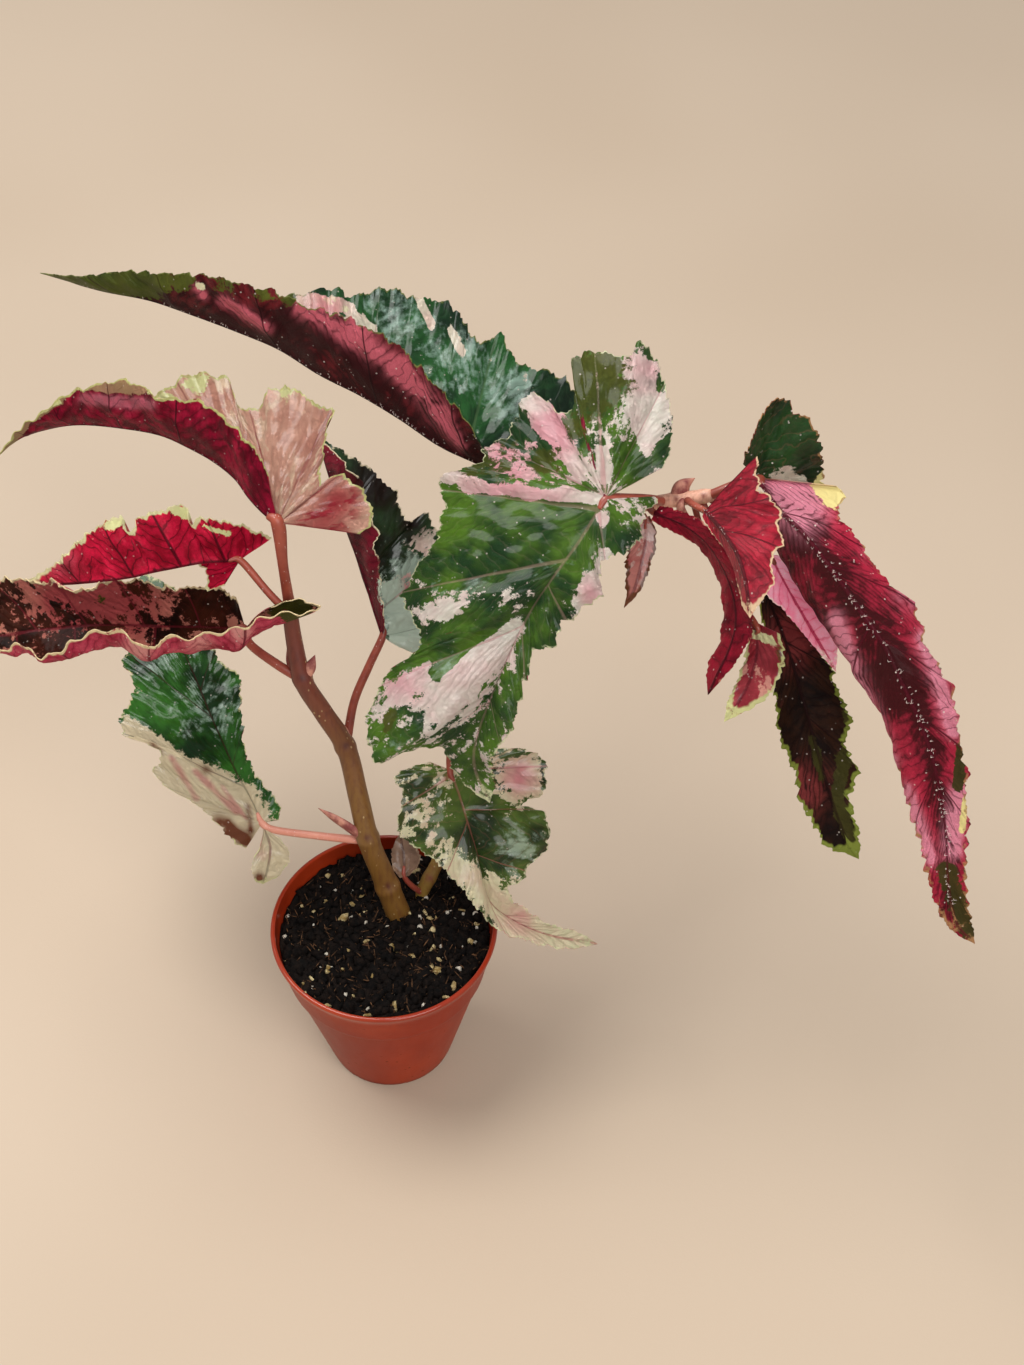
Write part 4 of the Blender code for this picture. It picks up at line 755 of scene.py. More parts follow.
# Each leaf: its stalk, midrib and both margins; teeth, puff, belly, wave and waves
# shape the blade, veins are shares of each margin, bristles are the shortest and the
# longest in millimetres. Touches are (right, down, reach, part), or a stroke when an
# end point follows.
leaves = [{
    "node": "leaf_broad_middle",
    "stalk": [
        (665, 502, 318, 2.3), (650, 499, 327, 2.2), (630, 498, 331, 2.2),
        (607, 499, 334, 2.3)],
    "midrib": [
        (606, 498, 335), (580, 540, 322), (553, 577, 308), (530, 612, 290),
        (500, 675, 262), (478, 735, 232), (475, 768, 213), (490, 803, 194)],
    "left": [
        (655, 497, 329, 0), (657, 502, 328, 0), (645, 510, 327, 0), (640, 528, 324, 0),
        (637, 543, 321, 0), (620, 552, 317, 0), (600, 563, 313, .1),
        (600, 588, 304, .2), (594, 601, 299, .25), (580, 606, 295, .3),
        (574, 618, 290, .35), (560, 622, 288, .38), (553, 645, 280, .42),
        (532, 650, 274, .48), (528, 668, 268, .5), (520, 692, 258, .58),
        (514, 712, 250, .64), (510, 732, 243, .7), (498, 746, 232, .77),
        (491, 762, 221, .85), (494, 783, 206, .93)],
    "right": [
        (663, 468, 344, 0), (669, 450, 348, 0), (671, 420, 356, 0), (664, 385, 366, 0),
        (655, 362, 372, 0), (640, 343, 379, 0), (628, 360, 374, 0), (612, 355, 375, 0),
        (595, 353, 374, 0), (573, 360, 370, 0), (581, 380, 364, 0), (578, 400, 358, 0),
        (563, 415, 352, 0), (548, 402, 352, 0), (532, 394, 352, 0), (520, 415, 344, 0),
        (508, 437, 338, 0), (485, 446, 335, 0), (483, 462, 331, 0), (465, 470, 329, 0),
        (443, 478, 328, .03), (442, 490, 322, .06), (447, 503, 318, .08),
        (443, 520, 312, .12), (436, 545, 304, .15), (422, 560, 298, .2),
        (408, 585, 290, .25), (404, 600, 284, .3), (415, 618, 280, .33),
        (423, 635, 274, .36), (422, 652, 268, .4), (405, 664, 263, .45),
        (386, 675, 259, .5), (376, 697, 253, .55), (368, 718, 247, .58),
        (370, 740, 239, .62), (378, 761, 231, .68), (392, 753, 229, .72),
        (420, 748, 226, .78), (444, 748, 220, .84), (453, 766, 211, .9),
        (471, 789, 200, .96)],
    "teeth": 2.2, "puff": 4, "belly": (.04, .04), "wave": 1.5, "waves": 6,
    "veins": {
        "left": (.22, .42, .62, .8), "right": (.09, .2, .31, .41, .5, .62, .75, .88)},
    "look": {
        "speckle": .75, "deep": (20, 62, 26), "mid": (84, 124, 32),
        "silver": (176, 204, 180), "cream": (238, 232, 216), "blush": (238, 170, 178),
        "patch": .02, "sheen": -.16, "veinUp": (206, 164, 150), "veinShow": .38,
        "edge": (226, 226, 180), "coat": .26, "olive": (108, 104, 34)},
    "touches": {
        "pale": [
            (446, 474, 9, 1.3, 470, 484), (470, 486, 6, 1.3, 530, 494),
            (530, 494, 6, 1.3, 598, 498), (545, 412, 16, 1.2), (553, 430, 14, 1.2),
            (566, 450, 12, 1), (580, 470, 10, .8), (640, 372, 16, 1.3),
            (655, 405, 20, 1.3), (648, 440, 14, 1.2), (604, 455, 8, .9, 602, 478),
            (660, 384, 9, -.9), (663, 448, 12, -.9), (628, 460, 14, -.8),
            (500, 456, 16, .9), (525, 470, 12, .8), (462, 530, 44, -1.2),
            (545, 545, 40, -1.2), (606, 556, 10, .55, 570, 646),
            (440, 612, 18, .55, 520, 590), (505, 616, 5, -1.6, 436, 674),
            (514, 626, 14, 1.2, 478, 660), (478, 660, 20, 1.2, 440, 706),
            (436, 650, 22, -.9, 480, 622), (418, 660, 14, -.7), (540, 632, 20, -.9),
            (526, 690, 20, -.9), (590, 590, 13, 1.2), (396, 694, 11, 1.1, 430, 664),
            (650, 520, 10, .8), (602, 520, 8, .9)],
        "blush": [
            (515, 492, 60, .8), (553, 430, 26, 1), (645, 370, 22, .5),
            (500, 460, 22, .6), (470, 680, 30, .3), (590, 592, 14, .7),
            (402, 684, 22, .8)],
        "dark": [(650, 382, 5, .6), (480, 765, 12, .3)],
        "silver": [
            (602, 545, 9, .9, 566, 628), (440, 592, 22, 1, 560, 562),
            (500, 640, 24, .6, 450, 700), (440, 670, 22, .8), (398, 742, 26, 1.1),
            (470, 700, 40, .5)],
        "olive": [
            (592, 380, 34, 1.2), (500, 462, 24, .55), (470, 466, 14, .6),
            (545, 462, 20, .7), (574, 430, 12, .6), (392, 712, 6, .9, 388, 728)]},
}, {
    "node": "leaf_long_back",
    "stalk": [(527, 627, 233, 2.2), (528, 560, 264, 2.1), (512, 485, 293, 2)],
    "midrib": [
        (512, 484, 294), (480, 464, 304), (440, 445, 313), (400, 418, 322),
        (360, 394, 331), (320, 374, 338), (280, 349, 343), (240, 332, 347),
        (200, 317, 349), (150, 300, 350), (100, 290, 347), (40, 273, 340)],
    "left": [
        (482, 450, 322, 0), (468, 430, 334, .05), (450, 401, 346, .13),
        (425, 376, 355, .2), (400, 352, 364, .28), (370, 331, 371, .35),
        (340, 316, 375, .42), (300, 307, 377, .5), (270, 293, 379, .57),
        (220, 279, 379, .67), (180, 277, 374, .75), (130, 272, 367, .83),
        (80, 277, 356, .91)],
    "right": [
        (524, 482, 292, 0), (560, 450, 302, 0), (580, 410, 312, 0),
        (560, 379, 322, .02), (518, 365, 328, .08), (500, 335, 336, .13),
        (478, 343, 336, .17), (450, 308, 344, .25), (415, 300, 348, .32),
        (385, 288, 351, .38), (352, 297, 350, .44), (330, 291, 353, .48),
        (295, 298, 350, .54), (250, 296, 344, .62), (200, 291, 341, .71),
        (140, 284, 340, .82), (90, 280, 338, .9)],
    "teeth": 2.6, "puff": 3, "belly": (-.1, -.08), "wave": 1, "waves": 5,
    "veins": {"left": (.1, .3, .5, .7, .85), "right": (.1, .3, .5, .7, .85)},
    "bristles": (1, 2.4),
    "look": {
        "deep": (8, 42, 22), "mid": (40, 100, 44), "silver": (176, 206, 190),
        "patch": -.05, "sheen": .14, "underDark": (54, 14, 17),
        "underLight": (122, 34, 40), "underPale": (222, 108, 122),
        "edge": (122, 128, 66), "underShow": .9, "glow": -.05,
        "veinUnder": (40, 10, 14), "veinUp": (110, 136, 92), "veinShow": .4,
        "olive": (112, 114, 40), "rimGlow": .5, "ribDark": .3},
    "touches": {
        "pale": [
            (418, 296, 4, 1.3, 432, 326), (300, 296, 6, 1.3, 345, 306),
            (352, 312, 5, 1, 372, 330), (450, 330, 4, .9, 462, 352),
            (300, 308, 8, .9, 350, 334), (350, 334, 10, .9, 400, 368),
            (400, 368, 10, .95, 440, 414), (440, 414, 6, .8, 462, 444),
            (222, 300, 5, 1, 268, 328), (196, 286, 4, 1.1, 204, 296)],
        "blush": [(325, 303, 22, .9)],
        "silver": [(470, 372, 40, .9), (400, 318, 36, .9), (520, 400, 30, .8)],
        "olive": [
            (60, 272, 40, 1.1), (110, 277, 30, 1.1), (150, 279, 22, .9),
            (185, 279, 14, .8), (225, 284, 12, .7), (262, 292, 12, .8),
            (290, 300, 10, .7)],
        "bare": [(200, 285, 7, .8), (330, 300, 8, .7), (345, 310, 6, .6)]},
}, {
    "node": "leaf_over_rim",
    "stalk": [
        (495, 722, 184, 2.2), (474, 722, 195, 2), (453, 742, 197, 1.9),
        (450, 771, 188, 1.8)],
    "midrib": [
        (450, 770, 188), (459, 795, 180), (468, 825, 168), (476, 852, 155),
        (483, 882, 140), (496, 909, 127), (541, 933, 115), (598, 944, 106)],
    "left": [
        (480, 752, 196, 0), (500, 747, 196, 0), (522, 749, 193, 0), (541, 758, 188, 0),
        (545, 772, 183, 0), (541, 794, 175, .05), (526, 799, 173, .1),
        (519, 806, 170, .15), (530, 808, 168, .2), (545, 817, 166, .25),
        (547, 835, 159, .32), (544, 852, 153, .38), (530, 863, 149, .42),
        (520, 882, 143, .47), (508, 886, 142, .52), (513, 901, 133, .6),
        (530, 913, 126, .7), (550, 925, 119, .8), (577, 932, 113, .9)],
    "right": [
        (430, 762, 192, 0), (410, 768, 191, 0), (395, 777, 189, 0), (403, 793, 184, 0),
        (400, 812, 178, .05), (399, 832, 172, .1), (416, 847, 166, .16),
        (434, 859, 160, .22), (452, 877, 153, .3), (466, 893, 146, .38),
        (476, 908, 140, .46), (486, 920, 134, .54), (500, 930, 129, .62),
        (522, 939, 122, .72), (547, 946, 116, .81), (573, 948, 110, .9)],
    "teeth": 1.8, "puff": 3, "belly": (.05, .05), "wave": 1, "waves": 5,
    "veins": {"left": (.2, .4, .6, .8), "right": (.2, .45, .7)},
    "look": {
        "deep": (20, 52, 22), "mid": (92, 122, 46), "silver": (190, 212, 186),
        "patch": .012, "sheen": .2, "speckle": .8, "edge": (230, 226, 180),
        "cream": (238, 232, 190), "veinShow": .6},
    "touches": {
        "pale": [
            (406, 800, 14, .2, 420, 830), (432, 846, 10, .3), (470, 800, 16, -.9),
            (478, 842, 14, -.5), (522, 775, 22, 1.3), (516, 846, 24, -.8),
            (450, 872, 18, .9), (540, 932, 40, 1.3), (575, 942, 40, 1.3),
            (500, 908, 12, 1.1), (488, 890, 12, 1)],
        "blush": [(518, 778, 18, 1), (520, 918, 16, .5)],
        "silver": [(505, 752, 18, .6), (516, 846, 26, .8)],
        "olive": [(402, 790, 5, .8, 398, 830)]},
}, {
    "node": "leaf_low_left",
    "stalk": [
        (369, 841, 150, 2.3), (320, 836, 148, 2.1), (275, 830, 146, 2),
        (262, 823, 147, 1.9)],
    "midrib": [
        (262, 823, 147), (250, 797, 153), (236, 772, 160), (215, 725, 170),
        (196, 680, 180), (176, 635, 188), (158, 600, 194), (143, 572, 198)],
    "left": [
        (246, 848, 136, 0), (234, 840, 140, 0), (215, 820, 147, 0), (195, 803, 151, 0),
        (165, 786, 155, 0), (154, 768, 158, .02), (163, 763, 162, .06),
        (156, 750, 166, .1), (128, 737, 168, .18), (121, 717, 171, .25),
        (133, 700, 175, .32), (134, 680, 179, .4), (122, 662, 182, .48),
        (130, 652, 184, .52), (138, 625, 188, .66), (134, 596, 193, .82)],
    "right": [
        (279, 820, 148, 0), (278, 804, 152, .01), (266, 789, 157, .06),
        (256, 776, 161, .12), (248, 760, 165, .2), (242, 738, 170, .28),
        (241, 710, 177, .38), (241, 682, 183, .48), (232, 670, 186, .52),
        (222, 665, 187, .56), (213, 650, 190, .62), (202, 620, 194, .75),
        (178, 592, 197, .9)],
    "teeth": 1.8, "puff": 3, "belly": (.04, .04), "wave": 1, "waves": 5,
    "veins": {"left": (.25, .5, .75), "right": (.3, .6)},
    "flap": {  # a part that is turned over
        "midrib": [(264, 829, 146), (270, 846, 147), (268, 865, 140), (263, 884, 132)],
        "left": [(280, 838, 146, 0), (289, 855, 141, .4), (281, 873, 134, .75)],
        "right": [(260, 846, 149, 0), (252, 866, 143, .45), (255, 880, 136, .8)],
        "veins": {"left": (), "right": ()},
        "teeth": .8, "puff": 0, "belly": (.1, .1), "wave": 1, "waves": 3},
    "look": {
        "wash": .7, "deep": (8, 52, 14), "mid": (58, 124, 38),
        "silver": (190, 216, 196), "patch": -.08, "sheen": .2, "speckle": .35,
        "veinUp": (70, 24, 28), "edge": (224, 220, 160), "cream": (242, 228, 184),
        "blush": (206, 96, 110), "bare": (236, 218, 180), "stalkLow": (190, 110, 90),
        "stalkHigh": (224, 160, 138), "dark": (120, 66, 42)},
    "touches": {
        "blush": [
            (172, 758, 4, .9, 196, 798), (196, 772, 4, .9, 236, 812),
            (222, 786, 3, .8, 246, 818), (262, 852, 12, .6)],
        "dark": [
            (152, 744, 3, .9, 160, 752), (228, 822, 4, .85, 246, 842),
            (248, 806, 3, .8, 251, 830), (259, 878, 5, 1.3), (219, 822, 8, 1),
            (229, 834, 8, 1.1), (245, 838, 9, 1.1), (206, 770, 5, .8),
            (263, 892, 8, 1.2)],
        "silver": [(205, 705, 30, .7), (165, 660, 28, .6)],
        "olive": [(150, 742, 3, .8, 190, 764)],
        "bare": [
            (148, 744, 16, 1), (128, 728, 12, 1), (165, 762, 18, 1.2),
            (188, 785, 22, 1.3), (215, 795, 22, 1.3), (240, 802, 18, 1.2),
            (252, 818, 12, 1.2), (200, 800, 12, 1.2, 240, 826), (268, 858, 34, 1.3)]},
}, {
    "node": "leaf_folded_middle",
    "stalk": [
        (346, 747, 202, 2.4), (354, 702, 222, 2.2), (369, 666, 237, 2.1),
        (383, 635, 250, 1.9)],
    "midrib": [
        (383, 636, 250), (371, 600, 262), (358, 560, 276), (347, 530, 286),
        (337, 500, 296), (326, 465, 306), (318, 436, 312)],
    "left": [
        (385, 628, 256, 0), (382, 605, 270, .1), (377, 575, 283, .3),
        (375, 545, 296, .45), (371, 515, 306, .6), (360, 487, 313, .75),
        (342, 462, 317, .88)],
    "right": [
        (390, 642, 248, 0), (404, 649, 245, 0), (420, 652, 243, 0), (436, 630, 246, 0),
        (444, 590, 254, .08), (443, 560, 262, .16), (438, 536, 269, .26),
        (424, 515, 275, .34), (408, 523, 276, .4), (399, 512, 281, .46),
        (394, 492, 288, .54), (380, 482, 294, .62), (370, 470, 299, .7),
        (355, 460, 305, .8), (336, 448, 309, .9)],
    "teeth": 2.2, "puff": 3, "belly": (-.1, -.05), "wave": 1, "waves": 5,
    "veins": {"left": (.5,), "right": (.2, .4, .6, .8)},
    "look": {
        "deep": (20, 26, 14), "mid": (46, 84, 44), "silver": (200, 222, 202),
        "patch": -.04, "underDark": (70, 8, 22), "underLight": (130, 20, 44),
        "veinUnder": (56, 6, 20), "dark": (26, 16, 10), "underShow": .2,
        "veinUp": (90, 70, 50), "veinShow": .4, "cream": (236, 222, 200),
        "bare": (206, 222, 200), "through": .16},
    "touches": {
        "pale": [(424, 604, 16, .8), (425, 545, 14, .7), (404, 585, 14, .5)],
        "blush": [(404, 585, 14, .6)],
        "dark": [(375, 490, 30, 1.1), (412, 522, 18, 1)],
        "silver": [(400, 600, 34, 1.3), (415, 570, 22, 1), (400, 640, 30, 1.2)],
        "bare": [(392, 590, 16, 1, 414, 628), (398, 640, 14, .9, 412, 652)]},
}, {
    "node": "leaf_boat_left",
    "stalk": [
        (303, 680, 247, 2.6), (275, 663, 253, 2.4), (250, 644, 257, 2.2),
        (244, 628, 262, 2)],
    "midrib": [
        (245, 629, 262), (200, 627, 264), (150, 626, 267), (100, 625, 269),
        (50, 629, 267), (0, 636, 261), (-32, 641, 255)],
    "left": [
        (272, 607, 290, 0), (296, 598, 301, 0), (319, 607, 301, 0), (307, 614, 303, 0),
        (284, 615, 303, .02), (263, 620, 299, .05), (243, 627, 293, .1),
        (215, 632, 288, .2), (190, 640, 286, .28), (165, 640, 287, .36),
        (145, 648, 287, .42), (128, 634, 292, .48), (108, 631, 292, .55),
        (85, 638, 288, .63), (60, 650, 283, .7), (40, 657, 279, .77),
        (20, 645, 279, .84), (0, 652, 268, .92)],
    "right": [
        (238, 604, 270, 0), (232, 596, 278, .06), (215, 588, 285, .12),
        (190, 587, 289, .2), (165, 588, 290, .28), (145, 582, 293, .35),
        (120, 580, 295, .43), (98, 583, 295, .5), (80, 592, 292, .56),
        (55, 583, 293, .64), (30, 581, 290, .72), (0, 580, 284, .8),
        (-20, 597, 274, .9)],
    "teeth": 2, "puff": 2, "belly": (-.28, -.12), "wave": .8, "waves": 5,
    "veins": {"left": (.3, .5, .7, .85), "right": (.2, .4, .6, .8)},
    "look": {
        "deep": (20, 12, 6), "mid": (70, 32, 18), "cream": (214, 140, 118),
        "blush": (176, 76, 76), "patch": .03, "sheen": -.1, "speckle": .7,
        "veinUp": (120, 34, 44), "underDark": (160, 26, 54),
        "underLight": (212, 76, 100), "underPale": (240, 176, 164),
        "edge": (238, 214, 166), "edgeWide": 1.5, "edgeShow": .9, "coat": .05,
        "olive": (96, 96, 32)},
    "touches": {
        "pale": [
            (95, 588, 22, .9), (40, 592, 22, .8), (160, 612, 20, .5),
            (205, 610, 26, -.5), (240, 628, 12, .8), (140, 646, 12, .9),
            (200, 640, 14, .6)],
        "blush": [(60, 600, 30, .5, 150, 610), (90, 588, 60, .9)],
        "olive": [(282, 602, 16, 1.1), (300, 610, 14, 1.1), (100, 598, 10, .4)]},
}, {
    "node": "leaf_top_left",
    "stalk": [(289, 602, 289, 2.8), (283, 565, 314, 2.5), (278, 524, 337, 3.4)],
    "midrib": [
        (278, 523, 338), (264, 512, 341), (250, 497, 344), (236, 478, 347),
        (215, 461, 349), (190, 447, 350), (160, 434, 349), (120, 427, 345),
        (80, 424, 338), (50, 428, 329), (20, 438, 318), (0, 454, 309),
        (-10, 464, 304)],
    "left": [
        (268, 474, 360, 0), (256, 453, 369, .14), (245, 440, 374, .2),
        (230, 423, 378, .26), (210, 408, 381, .33), (190, 401, 380, .4),
        (160, 397, 379, .48), (140, 387, 379, .55), (115, 382, 375, .62),
        (90, 386, 368, .69), (65, 397, 357, .76), (40, 413, 344, .84),
        (18, 432, 330, .92)],
    "right": [
        (360, 534, 335, 0), (372, 520, 340, 0), (366, 497, 347, 0), (352, 482, 352, 0),
        (335, 475, 354, 0), (322, 484, 351, 0), (320, 469, 354, 0), (325, 453, 358, 0),
        (326, 432, 363, 0), (333, 411, 368, 0), (315, 404, 369, 0), (300, 393, 368, 0),
        (285, 388, 367, 0), (271, 393, 363, 0), (262, 406, 357, 0), (248, 411, 353, 0),
        (236, 402, 353, .05), (229, 380, 356, .1), (210, 376, 356, .16),
        (190, 376, 355, .22), (170, 388, 352, .29), (145, 400, 347, .38),
        (105, 402, 340, .55), (65, 409, 333, .68), (28, 429, 319, .85)],
    "teeth": 1.8, "puff": 1, "belly": (-.1, -.08), "wave": 1, "waves": 5,
    "veins": {"left": (.3, .5, .7, .85), "right": (.12, .28, .45, .62, .8)},
    "bristles": (.6, 1.4),
    "look": {
        "deep": (190, 134, 114), "mid": (218, 170, 146), "silver": (234, 208, 180),
        "sheen": -.1, "cream": (232, 204, 172), "blush": (156, 34, 46),
        "veinUp": (140, 54, 56), "veinShow": .6, "patch": .05, "speckle": .12,
        "netShow": .35, "underDark": (98, 2, 26), "underLight": (182, 10, 58),
        "underPale": (236, 140, 156), "veinUnder": (60, 4, 18), "edge": (196, 192, 124),
        "edgeWide": 1.4, "edgeShow": .9, "dots": .3, "dark": (60, 66, 28),
        "sideStep": 9, "underShow": .4, "olive": (104, 112, 44),
        "bare": (214, 212, 150), "rimGlow": .1, "wash": .8},
    "touches": {
        "pale": [(84, 399, 5, 1.2, 150, 404)],
        "blush": [
            (345, 498, 20, .9, 325, 530), (330, 500, 14, .4, 300, 525),
            (285, 440, 40, .12), (250, 470, 12, .3, 240, 450)],
        "olive": [
            (82, 384, 6, 1.3, 142, 388), (36, 414, 5, 1, 60, 398),
            (2, 450, 6, 1.2, 24, 424), (18, 424, 4, .9, 58, 400)],
        "bare": [
            (24, 420, 3, 1, 58, 402), (150, 392, 4, .9, 172, 398), (195, 380, 16, .8),
            (285, 388, 12, .9), (318, 398, 10, .9)]},
}, {
    "node": "leaf_red_left",
    "stalk": [(292, 617, 281, 2.1), (268, 592, 289, 1.9), (241, 561, 300, 1.8)],
    "midrib": [
        (240, 560, 300), (215, 561, 303), (190, 564, 305), (160, 570, 305),
        (130, 577, 302), (100, 581, 297), (60, 584, 287), (22, 583, 276)],
    "left": [
        (272, 538, 309, 0), (252, 531, 315, 0), (235, 525, 320, .03),
        (205, 519, 325, .1), (190, 525, 324, .15), (180, 506, 331, .2),
        (160, 512, 330, .28), (139, 518, 328, .38), (128, 534, 321, .43),
        (118, 518, 326, .48), (100, 526, 321, .55), (80, 540, 312, .65),
        (58, 562, 297, .8), (38, 575, 284, .9)],
    "right": [
        (224, 586, 289, 0), (207, 588, 288, 0), (207, 572, 294, .03),
        (190, 560, 295, .12), (165, 556, 293, .25), (130, 560, 291, .4),
        (100, 566, 286, .55), (70, 575, 277, .72), (45, 580, 270, .86)],
    "teeth": 2, "puff": 3, "belly": (-.05, -.08), "wave": 1, "waves": 5,
    "veins": {"left": (.2, .4, .6, .8), "right": (.3, .6)},
    "look": {
        "deep": (150, 50, 54), "mid": (196, 100, 86), "cream": (236, 196, 170),
        "blush": (220, 96, 110), "veinUp": (130, 24, 38), "underDark": (146, 4, 32),
        "underLight": (214, 22, 62), "underPale": (240, 130, 146), "through": .12,
        "sideUnder": .6, "veinUnder": (70, 4, 18), "edge": (226, 218, 166),
        "edgeWide": 1.8, "edgeShow": .9, "dots": .25, "underShow": .2,
        "bare": (226, 224, 160)},
    "touches": {
        "pale": [(60, 560, 16, 1)],
        "dark": [(70, 585, 16, .25)],
        "bare": [
            (172, 508, 5, 1.1, 190, 516), (112, 524, 6, 1.1, 132, 514),
            (204, 527, 2.5, .9, 230, 534)]},
}, {
    "node": "leaf_long_right",
    "stalk": [(708, 496, 327, 2.4), (730, 487, 333, 2.4), (757, 478, 337, 2.8)],
    "midrib": [
        (757, 478, 338), (778, 508, 343), (804, 534, 344), (832, 570, 340),
        (860, 610, 331), (884, 645, 319), (903, 685, 304), (920, 722, 288),
        (933, 760, 272), (941, 800, 254), (946, 840, 236), (948, 885, 217),
        (956, 922, 201), (975, 944, 192)],
    "left": [
        (743, 464, 346, 0), (750, 444, 357, 0), (762, 414, 371, 0), (780, 397, 375, 0),
        (794, 412, 371, 0), (812, 424, 367, 0), (820, 448, 356, 0), (821, 472, 340, 0),
        (818, 520, 318, .08), (828, 570, 304, .18), (848, 615, 292, .3),
        (868, 662, 282, .42), (885, 712, 272, .52), (900, 762, 259, .62),
        (911, 808, 245, .72), (920, 838, 235, .78), (927, 868, 225, .84),
        (936, 902, 211, .9), (952, 930, 198, .96)],
    "right": [
        (836, 486, 351, 0), (843, 495, 349, 0), (836, 515, 346, .06),
        (852, 532, 342, .13), (870, 560, 336, .2), (893, 589, 328, .28),
        (912, 605, 322, .34), (925, 640, 313, .42), (941, 670, 302, .5),
        (953, 700, 291, .57), (960, 745, 274, .66), (967, 777, 262, .7),
        (964, 795, 255, .73), (967, 822, 245, .78), (964, 860, 229, .84),
        (966, 902, 212, .91), (972, 927, 199, .96)],
    "teeth": 2.4, "puff": 2.5, "belly": (-.32, -.1), "wave": 1, "waves": 5,
    "veins": {"left": (.4, .6, .8), "right": (.15, .3, .45, .6, .75, .88)},
    "bristles": (1, 2.6),
    "look": {
        "deep": (10, 40, 20), "mid": (32, 78, 34), "patch": -.08,
        "underDark": (66, 14, 18), "underLight": (186, 40, 66),
        "underPale": (240, 150, 170), "veinUnder": (84, 12, 28), "edge": (176, 128, 84),
        "edgeWide": 1.3, "dots": .8, "underShow": .85, "rimGlow": .9, "ribDark": .6,
        "sideUnder": .45, "olive": (96, 72, 30), "bare": (244, 226, 150),
        "sideStep": 5},
    "touches": {
        "pale": [
            (800, 505, 24, 1.3), (790, 490, 20, 1), (940, 640, 14, 1.1),
            (912, 592, 14, 1.1), (880, 545, 12, 1), (960, 795, 9, 1.3, 952, 850),
            (925, 640, 8, 1.2, 955, 730), (835, 620, 8, .9, 890, 760),
            (905, 790, 7, 1, 930, 860)],
        "dark": [(850, 602, 18, .25), (888, 665, 22, .35)],
        "olive": [(962, 748, 6, 1.2, 958, 786), (946, 872, 12, 1, 968, 930)],
        "bare": [(836, 492, 14, 1.3), (826, 482, 12, 1.2), (966, 800, 4, 1, 962, 830)]},
}, {
    "node": "leaf_red_right",
    "stalk": [(686, 499, 322, 1.9), (694, 505, 330, 1.7), (705, 511, 333, 1.6)],
    "midrib": [
        (705, 511, 334), (722, 530, 345), (738, 556, 347), (746, 585, 341),
        (750, 618, 330)],
    "left": [
        (702, 517, 334, 0), (711, 531, 336, .1), (723, 547, 337, .22),
        (733, 564, 336, .45), (738, 585, 333, .7), (742, 603, 331, .88)],
    "right": [
        (757, 456, 362, 0), (756, 474, 360, 0), (758, 491, 359, .04),
        (771, 498, 358, .12), (778, 509, 356, .22), (777, 522, 355, .32),
        (782, 543, 351, .45), (771, 558, 348, .56), (773, 583, 341, .74),
        (762, 599, 336, .87)],
    "teeth": 1.4, "puff": 2, "belly": (-.1, -.1), "wave": .8, "waves": 5,
    "veins": {"left": (.5,), "right": (.3, .6)},
    "bristles": (.6, 1.4),
    "look": {
        "deep": (120, 8, 28), "mid": (186, 28, 54), "cream": (230, 120, 130),
        "blush": (206, 48, 78), "patch": -.1, "sheen": -.1, "veinUp": (84, 4, 20),
        "underDark": (120, 8, 28), "underLight": (196, 32, 58),
        "underPale": (230, 110, 130), "veinUnder": (84, 4, 20), "edge": (236, 200, 160),
        "edgeWide": 1, "edgeShow": .9, "dots": .7, "underShow": .4, "gloss": .3},
    "touches": {"pale": [(765, 480, 10, .7)], "dark": [(735, 540, 20, .25)]},
}, {
    "node": "leaf_hanging_right",
    "stalk": [(700, 497, 325, 1.9), (723, 547, 305, 1.8), (765, 593, 289, 1.7)],
    "midrib": [
        (765, 592, 290), (785, 640, 277), (803, 700, 256), (817, 750, 238),
        (832, 800, 221), (847, 840, 206), (859, 859, 198)],
    "left": [
        (759, 603, 288, 0), (766, 632, 279, .06), (774, 665, 267, .2),
        (777, 705, 252, .35), (781, 738, 240, .48), (797, 775, 228, .6),
        (802, 803, 218, .7), (815, 825, 210, .8), (828, 847, 203, .9),
        (843, 852, 200, .96)],
    "right": [
        (775, 596, 291, 0), (800, 628, 281, .1), (820, 650, 273, .2),
        (837, 690, 260, .35), (850, 722, 248, .48), (844, 742, 242, .55),
        (856, 772, 232, .66), (849, 800, 222, .76), (858, 834, 210, .88)],
    "teeth": 2.4, "puff": 2.5, "belly": (-.06, -.06), "wave": 1.2, "waves": 5,
    "veins": {"left": (.3, .6), "right": (.3, .6)},
    # partly painted shade: these browns are darker than the leaf's own maroon-brown,
    # for the shade it hangs in
    "look": {
        "deep": (14, 8, 5), "mid": (44, 22, 10), "cream": (140, 50, 50),
        "blush": (120, 26, 36), "patch": -.02, "sheen": -.2, "veinUp": (70, 20, 20),
        "underDark": (16, 8, 6), "underLight": (46, 24, 12), "underPale": (140, 56, 56),
        "veinUnder": (30, 8, 8), "edge": (122, 132, 54), "edgeWide": 1.6,
        "edgeShow": .9, "dots": .4, "coat": .03, "olive": (78, 74, 30)},
    "touches": {
        "pale": [(788, 640, 22, 1.2), (800, 790, 22, 1.2)],
        "blush": [(790, 640, 24, .7), (800, 790, 22, .6)],
        "olive": [
            (846, 680, 5, 1.2, 850, 735), (850, 735, 7, 1.1, 838, 790),
            (838, 800, 8, 1, 852, 845), (822, 780, 6, .8, 812, 740)]},
}, {
    "node": "leaf_pink_right",
    "stalk": [(706, 496, 326, 1.7), (738, 519, 316, 1.5), (770, 557, 308, 1.4)],
    "midrib": [(770, 556, 308), (790, 592, 298), (812, 630, 286), (836, 672, 272)],
    "left": [
        (765, 563, 306, 0), (763, 590, 299, .15), (783, 609, 293, .4),
        (808, 639, 282, .7)],
    "right": [
